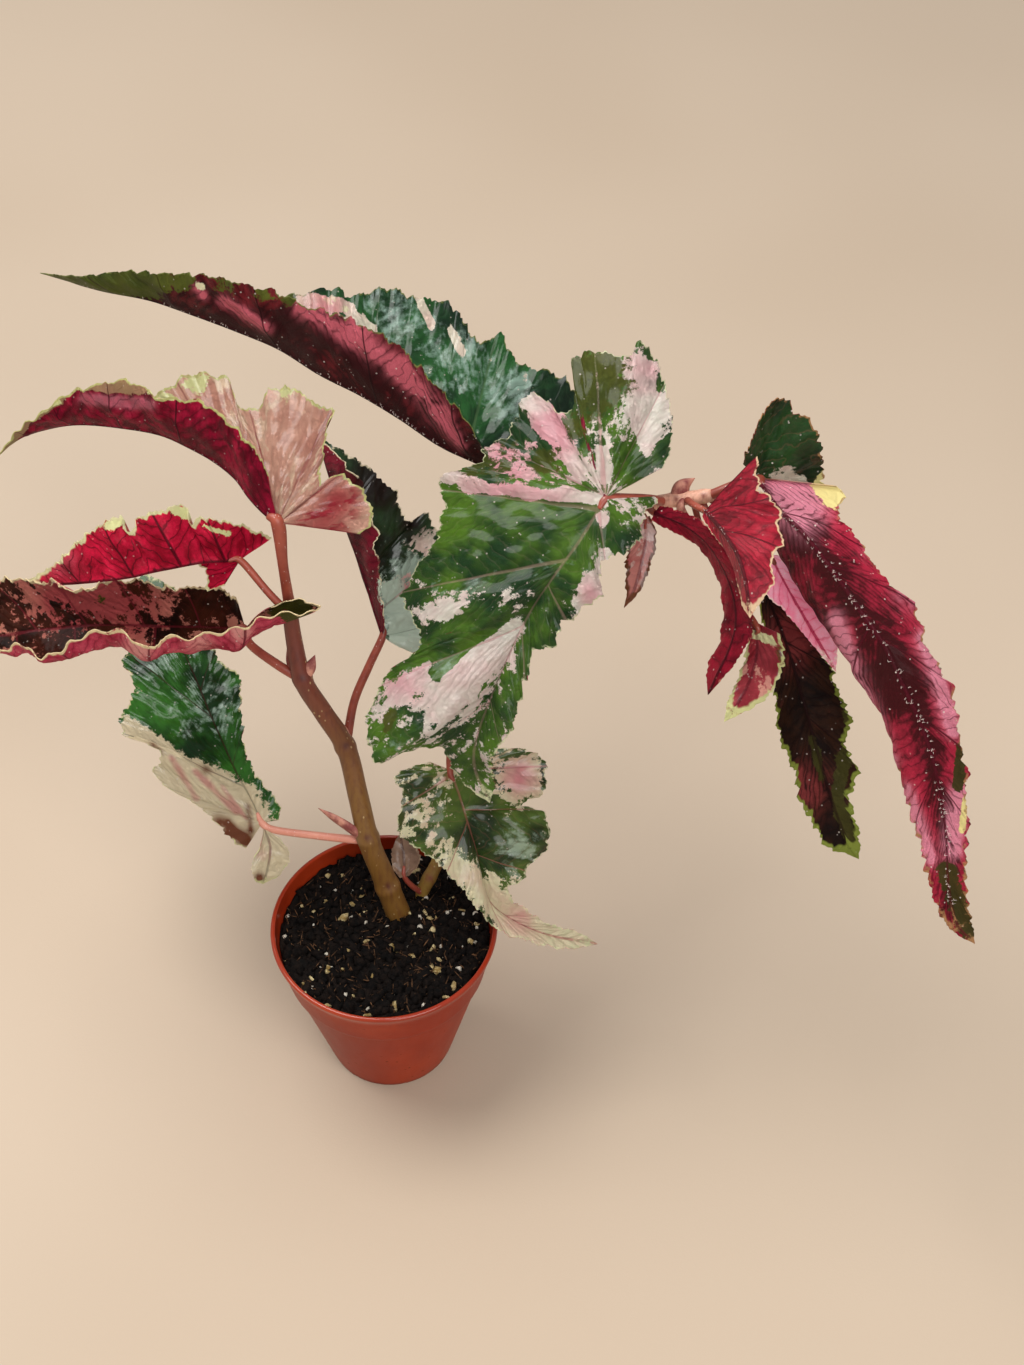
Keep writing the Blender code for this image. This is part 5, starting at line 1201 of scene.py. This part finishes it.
        (778, 555, 308, 0), (798, 578, 304, .3), (818, 607, 296, .55),
        (836, 640, 284, .8)],
    "teeth": .8, "puff": 0, "belly": (-.05, -.05), "wave": .5, "waves": 3,
    "veins": {"left": (), "right": ()},
    # painted light: these pinks are painted brighter than the leaf's own, and its glow
    # stronger, for the light that comes through it from behind
    "look": {
        "deep": (252, 130, 160), "mid": (255, 178, 196), "cream": (250, 196, 204),
        "blush": (240, 120, 156), "patch": -.1, "sheen": -.1, "veinUp": (176, 36, 72),
        "underDark": (252, 130, 160), "underLight": (255, 178, 196),
        "underPale": (252, 200, 210), "veinUnder": (176, 36, 72),
        "edge": (246, 204, 198), "dots": .4, "through": .3},
}, {
    "node": "leaf_strap_right",
    "stalk": [(650, 505, 315, 1.8), (651, 510, 318, 1.7), (655, 513, 321, 1.6)],
    "midrib": [
        (655, 513, 322), (680, 522, 324), (704, 539, 324), (721, 562, 320),
        (733, 591, 312), (737, 621, 302), (730, 650, 291), (716, 678, 280),
        (708, 695, 270)],
    "left": [
        (651, 520, 318, 0), (670, 530, 318, .1), (690, 540, 316, .22),
        (704, 552, 314, .33), (714, 568, 309, .42), (721, 590, 304, .52),
        (724, 610, 298, .6), (720, 640, 287, .74), (708, 668, 277, .88)],
    "right": [
        (660, 506, 324, 0), (682, 512, 330, .1), (704, 523, 333, .24),
        (723, 546, 331, .35), (739, 573, 326, .47), (751, 610, 314, .6),
        (750, 636, 303, .72), (734, 664, 289, .86)],
    "teeth": 1.2, "puff": 0, "belly": (-.08, -.08), "wave": .5, "waves": 3,
    "veins": {"left": (), "right": ()},
    "look": {
        "deep": (92, 4, 22), "mid": (146, 18, 40), "cream": (190, 70, 86),
        "blush": (170, 40, 66), "patch": -.1, "sheen": -.1, "veinUp": (64, 4, 18),
        "underDark": (92, 4, 22), "underLight": (152, 20, 44),
        "underPale": (206, 84, 104), "veinUnder": (64, 4, 18), "edge": (220, 140, 120),
        "edgeShow": .4, "underShow": .4},
}, {
    "node": "leaf_young_middle",
    "stalk": [(630, 509, 311, 1.7), (644, 516, 313, 1.4)],
    "midrib": [
        (644, 517, 314), (646, 535, 309), (641, 565, 299), (634, 590, 291),
        (624, 608, 284)],
    "left": [
        (650, 516, 314, 0), (656, 537, 308, .2), (651, 562, 300, .45),
        (640, 590, 290, .75)],
    "right": [
        (638, 518, 313, 0), (630, 543, 305, .2), (626, 568, 297, .5),
        (627, 592, 289, .8)],
    "teeth": 2, "puff": 0, "belly": (-.05, -.05), "wave": .8, "waves": 3,
    "veins": {"left": (), "right": ()},
    "look": {
        "deep": (190, 86, 84), "mid": (228, 150, 138), "cream": (240, 200, 186),
        "blush": (214, 104, 112), "sheen": 0, "veinUp": (120, 40, 44),
        "underDark": (180, 84, 82), "underLight": (222, 140, 132),
        "underPale": (240, 190, 176), "veinUnder": (120, 40, 44), "edge": (120, 70, 44),
        "edgeWide": 1.5, "edgeShow": .8, "dots": .3, "bare": (242, 206, 196),
        "olive": (120, 110, 60)},
    "touches": {"olive": [(655, 590, 10, .6)], "bare": [(650, 530, 14, .9)]},
}, {
    "node": "leaf_young_right",
    "stalk": [(692, 498, 323, 1.6), (712, 560, 300, 1.5), (755, 623, 301, 1.4)],
    "midrib": [
        (755, 622, 302), (757, 650, 289), (750, 680, 278), (737, 705, 270),
        (724, 722, 264)],
    "left": [
        (780, 634, 299, 0), (783, 662, 287, .2), (772, 690, 278, .45),
        (756, 705, 272, .7)],
    "right": [
        (748, 626, 300, 0), (747, 650, 287, .2), (740, 675, 278, .45),
        (729, 700, 270, .75)],
    "teeth": 1.8, "puff": 0, "belly": (-.05, -.05), "wave": 1.2, "waves": 4,
    "veins": {"left": (), "right": ()},
    "look": {
        "deep": (130, 24, 36), "mid": (190, 66, 76), "cream": (236, 170, 150),
        "blush": (206, 70, 90), "sheen": 0, "veinUp": (96, 8, 28),
        "underDark": (124, 16, 34), "underLight": (190, 60, 76),
        "underPale": (238, 160, 150), "veinUnder": (90, 8, 26), "edge": (220, 216, 150),
        "edgeWide": 2, "edgeShow": .9, "dots": .4, "bare": (232, 226, 170),
        "olive": (104, 96, 40)},
    "touches": {
        "pale": [(736, 630, 7, 1, 742, 670), (765, 700, 8, 1)],
        "olive": [(782, 650, 5, 1, 784, 680)],
        "bare": [(752, 634, 4, 1.2, 772, 640), (776, 690, 4, 1, 770, 720)]},
}, {
    "node": "sprout_low",
    "stalk": [(422, 893, 98, 1.7), (411, 885, 109, 1.5), (404, 876, 117, 1.3)],
    "midrib": [(404, 877, 117), (404, 860, 124), (402, 845, 130), (400, 834, 134)],
    "left": [
        (400, 878, 118, 0), (393, 868, 122, .1), (392, 855, 127, .4),
        (395, 842, 132, .75)],
    "right": [
        (409, 876, 118, 0), (419, 863, 123, .1), (418, 850, 128, .4),
        (411, 839, 133, .75)],
    "teeth": .6, "puff": 0, "belly": (-.15, -.15), "wave": .4, "waves": 2,
    "veins": {"left": (), "right": ()},
    "look": {
        "deep": (104, 78, 62), "mid": (164, 130, 106), "cream": (196, 170, 150),
        "blush": (170, 110, 104), "patch": -.05, "veinUp": (90, 56, 48),
        "underDark": (90, 64, 58), "underLight": (136, 104, 92),
        "underPale": (190, 160, 146), "veinUnder": (80, 46, 42),
        "edge": (190, 160, 130), "dots": .2},
}]


shellMarks = ("phase", "cell", "across", "toEdge", "upper")
touchKeys = ("pale", "blush", "dark", "silver", "olive", "bare")


# leaf finish

def lookOf(leaf):  # the leaf's own look over the common one, its colours as tones
    return {key: tone(*value) if isinstance(value, tuple) else value
            for key, value in {**leafLook, **leaf["look"]}.items()}


def leafFinish(name, look):
    paint = Paint(name + " blade", {
        "Coat Roughness": look["coatRough"], "Specular IOR Level": look["gloss"],
        "Emission Strength": look["through"]})
    where = paint.place()
    seed = float(sum(map(ord, name)) % 97)
    phase, cell, across, toEdge, upper = [paint.mark(key) for key in shellMarks]
    pale, blush, dark, silver, olive, bare = [paint.mark(key) for key in touchKeys]
    far = abs((phase + 0.5).fract() - 0.5) * cell  # mm to the nearest main vein
    cloud = paint.noise(where, 38, 3, 0.6)
    speck = paint.noise(where, 210, 5, 0.74)
    warp = paint.noise(where, 90, 2)
    spokes = paint.noise(paint.join(phase * 2.6 + seed, across * 0.03, seed), 1.6, 3,
                         0.65)
    # veins: main ones fork from the stalk, side ones lean off them, then a net
    wide = 0.2 + toEdge * 0.008
    mainVein = far.fade(wide + 0.35, wide * 0.6) * phase.fade(0.03, 0.08)
    mainVein = mainVein.most(across.fade(1.1, 0.4))
    lean = (across - far * 1.15) / look["sideStep"] + warp * 2.0 + cloud
    off = abs(lean.fract() - 0.5)
    sideVein = off.fade(0.09, 0.02) * far.fade(0.0, 1.0)
    swerve = paint.mix(0.06, where, paint.node("ShaderNodeTexNoise", {}, {
        "Vector": where, "Scale": 240.0}, "Color"), "LINEAR_LIGHT")
    net = paint.cells(swerve, 330, "DISTANCE_TO_EDGE").fade(0.14, 0.02)
    veins = (mainVein + sideVein * 0.35 + net * look["netShow"]).clip()
    # upper side: greens, silver and painted highlights between the veins, then pale
    # patches
    green = paint.mix(cloud.fade(0.35, 0.65), look["deep"], look["mid"])
    # shine mixes real silver patches with a painted highlight, brightest in the middle
    # of each cell between the side veins
    shine = ((warp - 0.5) * 0.9 + (spokes - 0.5) * 1.4 + (speck - 0.5) * 1.1
             + (off - 0.28) * 0.3 + silver * 0.62 + look["sheen"] - 0.42)
    shine = shine.fade(0.0, 0.42) * (1 - veins * 0.7)
    green = paint.mix(shine.clip() * 0.72, green, look["silver"])
    drive = ((spokes - 0.5) * 0.6 + (cloud - 0.5) * 0.35
             + (speck - 0.5) * look["speckle"] + pale * 0.32
             + (look["patch"] - 0.07))
    patch = drive.fade(0.0, 0.045)
    rosy = (warp * 0.9 - 0.3 + blush * 0.9 + mainVein * 0.35).clip()
    flesh = paint.mix(rosy, look["cream"], look["blush"])
    face = paint.mix(patch, green, flesh)
    face = paint.mix((blush * look["wash"]).clip(), face, look["blush"])
    show = (mainVein * 0.75 + sideVein * 0.14 + net * look["netShow"]).clip()
    face = paint.mix(show * look["veinShow"], face, look["veinUp"])
    # underside: red, darker in the middle, paler to the margin
    feather = (off - 0.25) * look["feather"]
    glow = ((cloud - 0.5) * 2.0 + (spokes - 0.5) * 2.4 + (speck - 0.5) * 1.8
            + feather + look["glow"] + toEdge.fade(16.0, 1.0) * look["rimGlow"]
            - across.fade(12.0, 2.0) * look["ribDark"]).clip()
    back = paint.mix(glow, look["underDark"], look["underLight"])
    uneven = (spokes * 1.2 + warp + speck * 0.6 + feather - 0.95).clip() * 2.4
    lit = (pale * uneven + drive.fade(0.02, 0.12) * 0.15).clip()
    back = paint.mix(lit * look["underShow"], back, look["underPale"])
    lines = mainVein * 0.8 + sideVein * look["sideUnder"] + net * 0.25
    back = paint.mix(lines.clip(), back, look["veinUnder"])
    # both sides: olive, bare and dry parts, a pale fringe and small dots
    colour = paint.mix(upper, back, face)
    grain = (speck - 0.5) * 1.6 + (warp - 0.5) * 0.8
    leafy = paint.mix(cloud, look["deep"], look["olive"])
    colour = paint.mix((olive + grain).fade(0.4, 0.55) * (1 - mainVein * 0.6),
                       colour, leafy)
    yellow = paint.mix((rosy - 0.4).clip(), look["bare"], look["blush"])
    colour = paint.mix((bare + grain).fade(0.4, 0.55) * (1 - mainVein * 0.4),
                       colour, yellow)
    colour = paint.mix((dark * (0.6 + speck * 0.8)).clip(), colour, look["dark"])
    shown = look["edgeShow"] * 0.3
    broken = (speck * 0.5 + warp * 0.5).fade(0.62 - shown, 0.7 - shown)
    fringe = toEdge + (warp - 0.5) * (look["edgeWide"] * 3.0)
    fringe = fringe.fade(look["edgeWide"], look["edgeWide"] * 0.5)
    colour = paint.mix(fringe * broken, colour, look["edge"])
    dots = paint.cells(where, 300).fade(0.17, 0.09)
    dots = dots * paint.noise(where, 160, 2).fade(0.5, 0.58)
    colour = paint.mix(dots * look["dots"], colour, look["dotColour"])
    # relief: veins sink on the upper side and stand out below
    quilt = off.fade(0.0, 0.42) * far.fade(0.2, 3.0)
    puckers = paint.noise(where, 120, 2)
    raised = (quilt * 0.7 - mainVein * 0.5 - net * 0.3 + speck * 0.15
              + puckers * 1.4)
    turned = (mainVein * 0.55 + sideVein * 0.25 + net * 0.12 + speck * 0.12
              + puckers * 1.2)
    height = raised * upper + turned * (1 - upper)
    rough = look["rough"] + speck * 0.16 + (1 - upper) * 0.1 + patch * 0.04
    paint.feed(paint.shader.inputs["Coat Weight"], (upper * 0.9 + 0.1) * look["coat"])
    paint.feed(paint.shader.inputs["Emission Color"], colour)  # painted glow, in the leaf's colour, for the light let through
    return paint.finish(colour, rough.clip(), height, look["relief"])


def stalkFinish(name, look):
    paint = Paint(name + " stalk", {"Coat Weight": caneShape["coat"]})
    where = paint.place()
    cloud = paint.noise(where, 120, 4)
    streak = paint.noise(where, 700, 2)
    colour = paint.mix((cloud * 1.3 - 0.15).clip(), look["stalkLow"],
                       look["stalkHigh"])
    colour = paint.mix(paint.cells(where, 420).fade(0.16, 0.08) * 0.4, colour,
                       look["dotColour"])
    return paint.finish(colour, 0.4 + streak * 0.15, cloud * 0.1 + streak * 0.06)


# leaf shapes

def marginLine(midrib, margin):
    line = smoothLine([sight(p) for p in margin] + [(*midrib[-1], 1.0)],
                      leafShape["curveSteps"])
    rising = np.maximum.accumulate(np.clip(line[:, 3], 0.0, 1.0))
    return line[:, :3], rising + np.linspace(0.0, 1e-4, len(rising))


def toothHeights(distance, width, size, chance):
    # Large teeth with small ones on them, leaning to the tip, in millimetres.
    large, small, lean = [leafShape[key]
                          for key in ("toothPitch", "smallTooth", "toothLean")]
    total = np.zeros_like(distance)
    for pitch, reach in ((large, size * 0.9), (large * small, 0.6 + size * 0.28)):
        count = int(distance[-1] / pitch) + 3
        places = np.cumsum(pitch * (0.7 + 0.6 * chance.random(count)))
        places = np.concatenate([[0.0], places])
        heights = 0.5 + chance.random(count + 1)
        cell = np.clip(np.searchsorted(places, distance, side="right") - 1, 0,
                       count - 1)
        part = (distance - places[cell]) / (places[cell + 1] - places[cell])
        shape = np.where(part < lean, part / lean, (1 - part) / (1 - lean))
        total += reach * heights[cell] * (shape - 0.35)
    fade = between(width, 0.0, 8.0) * between(distance, 0.0, 4.0)
    return total * fade * between(distance[-1] - distance, 0.0, 6.0)


def leafHalves(leaf):
    midrib = smoothLine([sight(p) for p in leaf["midrib"]], leafShape["curveSteps"])
    lines = {half: marginLine(midrib, leaf[half]) for half in ("left", "right")}
    along = np.linspace(0.0, 1.0, leafShape["curveSteps"] + 1)
    starts = {half: float(np.interp(leafShape["fanEnd"], rising, along))
              for half, (line, rising) in lines.items()}
    runs = {half: lineLength(line) for half, (line, rising) in lines.items()}
    count = int(max(runs[h] * (1 - starts[h]) for h in runs) / leafShape["column"])
    test = np.linspace(leafShape["fanEnd"], 1.0, 400)
    total = np.zeros_like(test)
    for line, rising in lines.values():
        spot = np.interp(test, rising, along)
        total += (spot - spot[0]) / (spot[-1] - spot[0])
    shares = np.interp(np.linspace(0.0, 1.0, count + 1)[1:], total / 2, test)
    shares[-1] = 1.0
    halves, widest = [], 0.0
    for half, (line, rising) in lines.items():
        fan = max(1, int(runs[half] * starts[half] / leafShape["column"]))
        places = np.concatenate([np.linspace(0.0, starts[half], fan + 1),
                                 np.interp(shares, rising, along)])
        ribs = np.concatenate([np.zeros(fan + 1), shares])
        out = readLine(line, places) - readLine(midrib, ribs)
        width = np.linalg.norm(out, axis=1)
        halves.append((half, fan, places, ribs, out, width, runs[half]))
        widest = max(widest, float(width.max()))
    return midrib, halves, max(6, int(widest / leafShape["ring"]))


def leafSheet(leaf, chance):
    midrib, halves, rings = leafHalves(leaf)
    r = np.linspace(0.0, 1.0, rings + 1) ** leafShape["ringCrowd"]
    made = []
    for number, (half, fan, places, ribs, out, width, run) in enumerate(halves):
        distance = places * run
        teeth = toothHeights(distance, width, leaf["teeth"], chance)
        out = out + unit(out) * teeth[:, None]
        slant = leafShape["ribSlant"] + (leafShape["tipSlant"]
                                         - leafShape["ribSlant"]) * ribs[:, None]
        centre = readLine(midrib, ribs[:, None] * (1 - slant + slant * r))
        sheet = centre + r[None, :, None] * out[:, None, :]
        turn = 1.0 if half == "left" else -1.0
        upper = unit(turn * np.cross(np.gradient(sheet, axis=0),
                                     np.gradient(sheet, axis=1)))
        stride = max(1, len(places) // 60)
        for _ in range(6):
            mixed = upper.copy()
            mixed[stride:] += upper[:-stride]
            mixed[:-stride] += upper[stride:]
            upper = unit(mixed)
        # the lift off the flat: belly, puffs between veins, wave, ripple, buckles
        depth = width * between(width, 0.0, 20.0)
        depth = depth * (leafShape["lobeBelly"] + (1 - leafShape["lobeBelly"])
                         * between(ribs, 0.0, 0.12))
        lift = depth[:, None] * (4 * r * (1 - r) * leaf["belly"][number])[None, :]
        veins = np.array([0.0, *leaf["veins"][half], 1.0])
        cell = np.clip(np.searchsorted(veins, places, side="right") - 1,
                       0, len(veins) - 2)
        part = (places - veins[cell]) / (veins[cell + 1] - veins[cell])
        puff = leaf["puff"] * np.sin(math.pi * part) * between(width, 5.0, 27.0)
        lift = lift + puff[:, None] * np.sin(math.pi * 0.85 * r ** 0.8)
        ends = np.sqrt(np.sin(math.pi * np.clip(places, 0.02, 0.98)))
        broad = between(width, 3.0, 21.0) * ends
        wave = np.sin(2 * math.pi * leaf["waves"] * places + 1.3 * number)
        lift = lift + (wave * leaf["wave"] * broad)[:, None] * (r ** 2)[None, :]
        ripple = np.sin(distance / leafShape["ripplePitch"] * 2 * math.pi
                        + 2.5 * np.sin(distance / 31.0))
        ripple = ripple * leafShape["ripple"] * broad
        lift = lift + ripple[:, None] * (r ** 4)[None, :]
        across = width[:, None] * r[None, :]
        down = distance[:, None] / leafShape["buckle"]
        side = across / leafShape["buckle"]
        buckle = (np.sin(down * 2.1 + 1.7 * np.sin(side * 1.3) + number)
                  + np.sin(side * 2.6 - down * 1.2)
                  + 0.7 * np.sin(down * 4.3 + side * 3.1))
        lift = lift + (buckle * leafShape["buckleHigh"] * broad[:, None]
                       * np.sin(math.pi * r)[None, :])
        sheet = sheet + upper * lift[..., None]
        sheet[:, 0] = centre[:, 0]
        rows = np.arange(len(places))
        before, after = [np.rint(np.interp(veins[k], places, rows)).astype(int)
                         for k in (cell, cell + 1)]
        made.append({
            "fan": fan, "sheet": sheet,
            "phase": (cell + part)[:, None] * np.ones_like(across) + 20 * number,
            "cell": np.linalg.norm(sheet[after] - sheet[before], axis=2),
            "across": across,
            "toEdge": (width * between(width, 0.0, 3.0))[:, None] * (1 - r)[None, :],
        })
    return midrib, made, rings


def leafShell(leaf, chance):
    # A closed thin shell, with the blade's marks on its face corners.
    midrib, (left, right), rings = leafSheet(leaf, chance)
    ribCount = len(left["sheet"]) - left["fan"]
    places = [left["sheet"][left["fan"]:, 0]]
    index, raw, used, start = [], [], ribCount, 0
    for half in (left, right):
        rows = len(half["sheet"])
        own = np.zeros((rows, rings + 1), int)
        own[:, 0] = np.maximum(0, np.arange(rows) - half["fan"])
        fresh = rows if half is left else rows - 1
        own[:fresh, 1:] = used + np.arange(fresh * rings).reshape(fresh, rings)
        used += fresh * rings
        places.append(half["sheet"][:fresh, 1:].reshape(-1, 3))
        if half is right:
            own[-1] = index[0][-1]
        index.append(own)
        raw.append(start + np.arange(own.size).reshape(own.shape))
        start += own.size
    verts = np.vstack(places)
    tris, rawTris = [], []
    for k, (own, source) in enumerate(zip(index, raw)):
        for grid, into in ((own, tris), (source, rawTris)):
            a, b = grid[:-1, :-1].ravel(), grid[1:, :-1].ravel()
            c, d = grid[1:, 1:].ravel(), grid[:-1, 1:].ravel()
            pair = np.concatenate([np.stack([a, b, c], 1), np.stack([a, c, d], 1)])
            into.append(pair[:, ::-1] if k else pair)
    tris, rawTris = np.vstack(tris), np.vstack(rawTris)
    good = ((tris[:, 0] != tris[:, 1]) & (tris[:, 1] != tris[:, 2])
            & (tris[:, 0] != tris[:, 2]))
    tris, rawTris = tris[good], rawTris[good]
    marks = {key: np.concatenate([left[key].ravel(), right[key].ravel()])
             for key in shellMarks[:4]}
    across, toEdge = np.zeros(len(verts)), np.zeros(len(verts))
    flat = np.concatenate([own.ravel() for own in index])
    across[flat], toEdge[flat] = marks["across"], marks["toEdge"]
    corner = verts[tris]
    facing = np.cross(corner[:, 1] - corner[:, 0], corner[:, 2] - corner[:, 0])
    normal = np.zeros_like(verts)
    for k in range(3):
        np.add.at(normal, tris[:, k], facing)
    normal = unit(normal)
    thick = leafShape["thick"] + leafShape["thicker"] * between(toEdge, 0.0, 4.0)
    reach = np.linalg.norm(verts - midrib[0, :3], axis=1) / lineLength(midrib)
    keel = (leafShape["keel"] * np.clip(1.1 - reach, 0.15, 1.0)
            * np.exp(-(across / leafShape["keelWide"]) ** 2)
            * between(toEdge, 0.0, 3.0))
    both = np.concatenate([verts + normal * thick[:, None],
                           verts - normal * (thick + keel)[:, None]])
    # a strip closes the rim, along the edges that one triangle only has
    count = len(verts)
    pairs, rawPairs = [np.concatenate([t[:, [0, 1]], t[:, [1, 2]], t[:, [2, 0]]])
                       for t in (tris, rawTris)]
    there, back = pairs @ (count, 1), pairs @ (1, count)
    rim = ~np.isin(there, back)
    (a, b), (ra, rb) = pairs[rim].T, rawPairs[rim].T
    faces = np.vstack([tris, tris[:, ::-1] + count,
                       np.stack([b, a, a + count], 1),
                       np.stack([b, a + count, b + count], 1)])
    source = np.vstack([rawTris, rawTris[:, ::-1], np.stack([rb, ra, ra], 1),
                        np.stack([rb, ra, rb], 1)]).ravel()
    values = {key: mark[source] for key, mark in marks.items()}
    values["upper"] = np.repeat([1.0, 0.0, 0.5], [tris.size, tris.size,
                                                  int(rim.sum()) * 6])
    return both, faces, values


def touchMarks(leaf, verts, corners):
    spots = drawn(verts)
    marks = {}
    for key in touchKeys:
        value = np.zeros(len(verts))
        for right, down, reach, part, *end in leaf.get("touches", {}).get(key, ()):
            away = spots - (right, down)
            run = np.array(end or (right, down)) - (right, down)
            share = np.clip(away @ run / max(run @ run, 1e-9), 0.0, 1.0)
            away = away - share[:, None] * run
            value = value + part * np.exp(-(away ** 2).sum(axis=1) / reach ** 2)
        marks[key] = np.clip(value, -1.2, 1.3)[corners]
    return marks


def bristle():
    bm = bmesh.new()
    bmesh.ops.create_cone(bm, cap_ends=True, segments=3, radius1=bristles["base"],
                          radius2=bristles["tip"], depth=1.0)
    bmesh.ops.translate(bm, vec=(0, 0, 0.5), verts=bm.verts)
    return bpy.data.objects.new("bristle", meshFrom("bristle", bm))


def bristleFinish():
    paint = Paint("bristles", {})
    cloud = paint.noise(paint.place(), 300, 2)
    return paint.finish(paint.mix(cloud, *bristles["finish"]), 0.5 + cloud * 0.2,
                        cloud * 0.1)


def makeBristles(leaf, verts, values, faces, material):
    # Pale bristles on the underside, along the midrib, as a line of points.
    low, high = leaf["bristles"]
    lower = faces[:, 0] >= len(verts) // 2
    across, toEdge, upper = [values[key].reshape(-1, 3)[:, 0]
                             for key in ("across", "toEdge", "upper")]
    chance = np.random.default_rng(7)
    pick = (lower & (upper < 0.2) & (across < bristles["reach"])
            & (toEdge > bristles["fromEdge"]))
    edges = verts[faces[:, 1:]] - verts[faces[:, :1]]
    facing = np.cross(edges[:, 0], edges[:, 1])
    area = np.linalg.norm(facing, axis=1) / 2
    pick &= chance.random(len(faces)) < area * bristles["share"]
    facing, normals = unit(facing), {}
    for face, way in zip(faces[lower], facing[lower]):
        normals.setdefault(int(face[0]), way)
    small, tris = [], []
    for number in np.unique(faces[pick, 0]):
        spot, way = verts[number], normals[int(number)]
        side = unit(np.cross(way, (0.3, 0.2, 0.9)))
        other = np.cross(way, side)
        tris.append((len(small), len(small) + 1, len(small) + 2))
        small += [spot, spot + side * 0.02, spot + other * 0.02]
    # each tiny triangle carries the direction of one bristle
    host = makePiece("bristle_spots", small, tris, [])
    grown = strew(leaf["node"] + " bristles", host, [bristle()],
                  (0.0, low * mm, high * mm, 6, bristles["lean"]), material,
                  along=True)
    bpy.data.objects.remove(host)
    return grown


hair = bristleFinish()


def makeLeaf(leaf):
    name, look = leaf["node"], lookOf(leaf)
    chance = np.random.default_rng(sum(map(ord, name)))
    verts, faces, values = leafShell(leaf, chance)
    blades = [(verts, faces, values)]
    if "flap" in leaf:
        blades.append(leafShell({**leaf, **leaf["flap"]}, chance))
    start, ahead = leaf["midrib"][:2]
    run = leafShape["stalkRun"] / math.dist(sight(start), sight(ahead))
    end = [a + (b - a) * run for a, b in zip(start, ahead)]
    end.append(leaf["stalk"][-1][3] * leafShape["stalkTip"])
    stalk, sides = tubeMesh(leaf["stalk"] + [end], leafShape["stalkSides"],
                            leafShape["stalkSteps"])
    every, polys, kinds = addMeshes([(points, tris.tolist(), 0)
                                     for points, tris, own in blades]
                                    + [(stalk, sides, 1)])
    unmarked = np.zeros(sum(map(len, sides)))
    marks = {key: np.concatenate([own[key] for points, tris, own in blades]
                                 + [unmarked]) for key in shellMarks}
    marks.update(touchMarks(leaf, every, cornersOf(polys)))
    stem = stalkFinish(name, look)
    piece = makePiece(name.replace("leaf_", "blade_") + "_fine", every, polys,
                      [leafFinish(name, look), stem], marks, kinds)
    piece.data.validate()
    piece.data.set_sharp_from_angle(angle=math.radians(leafShape["sharpAngle"]))
    if "bristles" in leaf:
        joinInto(piece, [makeBristles(leaf, verts, values, faces, hair)])
    settle(piece, name)
    return len(polys)


count = sum(makeLeaf(leaf) for leaf in leaves)
print("leaves done:", count, "faces")


# floor, light and camera

stage = {  # metres
    "floor": tone(193, 175, 155), "warm": tone(185, 166, 145), "floorReach": 6.0,
    "sky": (1.0, 0.98, 0.96, 1.0), "skyPower": 0.37,
    "lamps": [  # place, aim, size, power, colour
        ((-0.7, 0.4, 1.95), (0.0, 0.0, 0.15), 1.5, 43, (1.0, 0.99, 0.97)),
        ((0.75, -1.5, 1.7), (0.0, -0.1, 0.1), 1.5, 31, (1.0, 0.99, 0.98)),
    ],
    "sensor": 36.0, "farthest": 50.0,
}


def makeFloor():
    paint = Paint("paper floor", {})
    where = paint.place()
    cloud = paint.noise(where, 1.6, 2)
    tooth = paint.noise(where, 700, 3)
    colour = paint.mix(cloud.fade(0.3, 0.7), stage["floor"], stage["warm"])
    bm = bmesh.new()
    bmesh.ops.create_grid(bm, x_segments=8, y_segments=8, size=stage["floorReach"])
    mesh = meshFrom("floor", bm)
    mesh.materials.append(paint.finish(colour, 0.8 + tooth * 0.1, tooth * 0.05))
    newObject("floor", mesh)


def makeLight():
    world = bpy.data.worlds.new("studio")
    bpy.context.scene.world = world
    world.use_nodes = True
    sky = world.node_tree.nodes["Background"]
    sky.inputs["Color"].default_value = stage["sky"]
    sky.inputs["Strength"].default_value = stage["skyPower"]
    for place, aim, size, power, colour in stage["lamps"]:
        data = bpy.data.lights.new("softbox", "AREA")
        data.shape, data.size, data.energy, data.color = "DISK", size, power, colour
        lamp = newObject("softbox", data)
        lamp.location = place
        way = Vector(aim) - Vector(place)
        lamp.rotation_euler = way.to_track_quat("-Z", "Y").to_euler()


def makeCamera():
    data = bpy.data.cameras.new("camera")
    data.sensor_width = stage["sensor"]
    data.lens = view["focal"] / view["high"] * stage["sensor"]
    data.clip_end = stage["farthest"]
    camera = newObject("camera", data)
    camera.location = [c * mm for c in view["eye"]]
    camera.rotation_euler = (math.radians(90) - view["tilt"], 0.0, 0.0)
    bpy.context.scene.camera = camera
    bpy.context.scene.view_settings.view_transform = "Standard"


makeFloor()
makeLight()
makeCamera()
print("stage done")
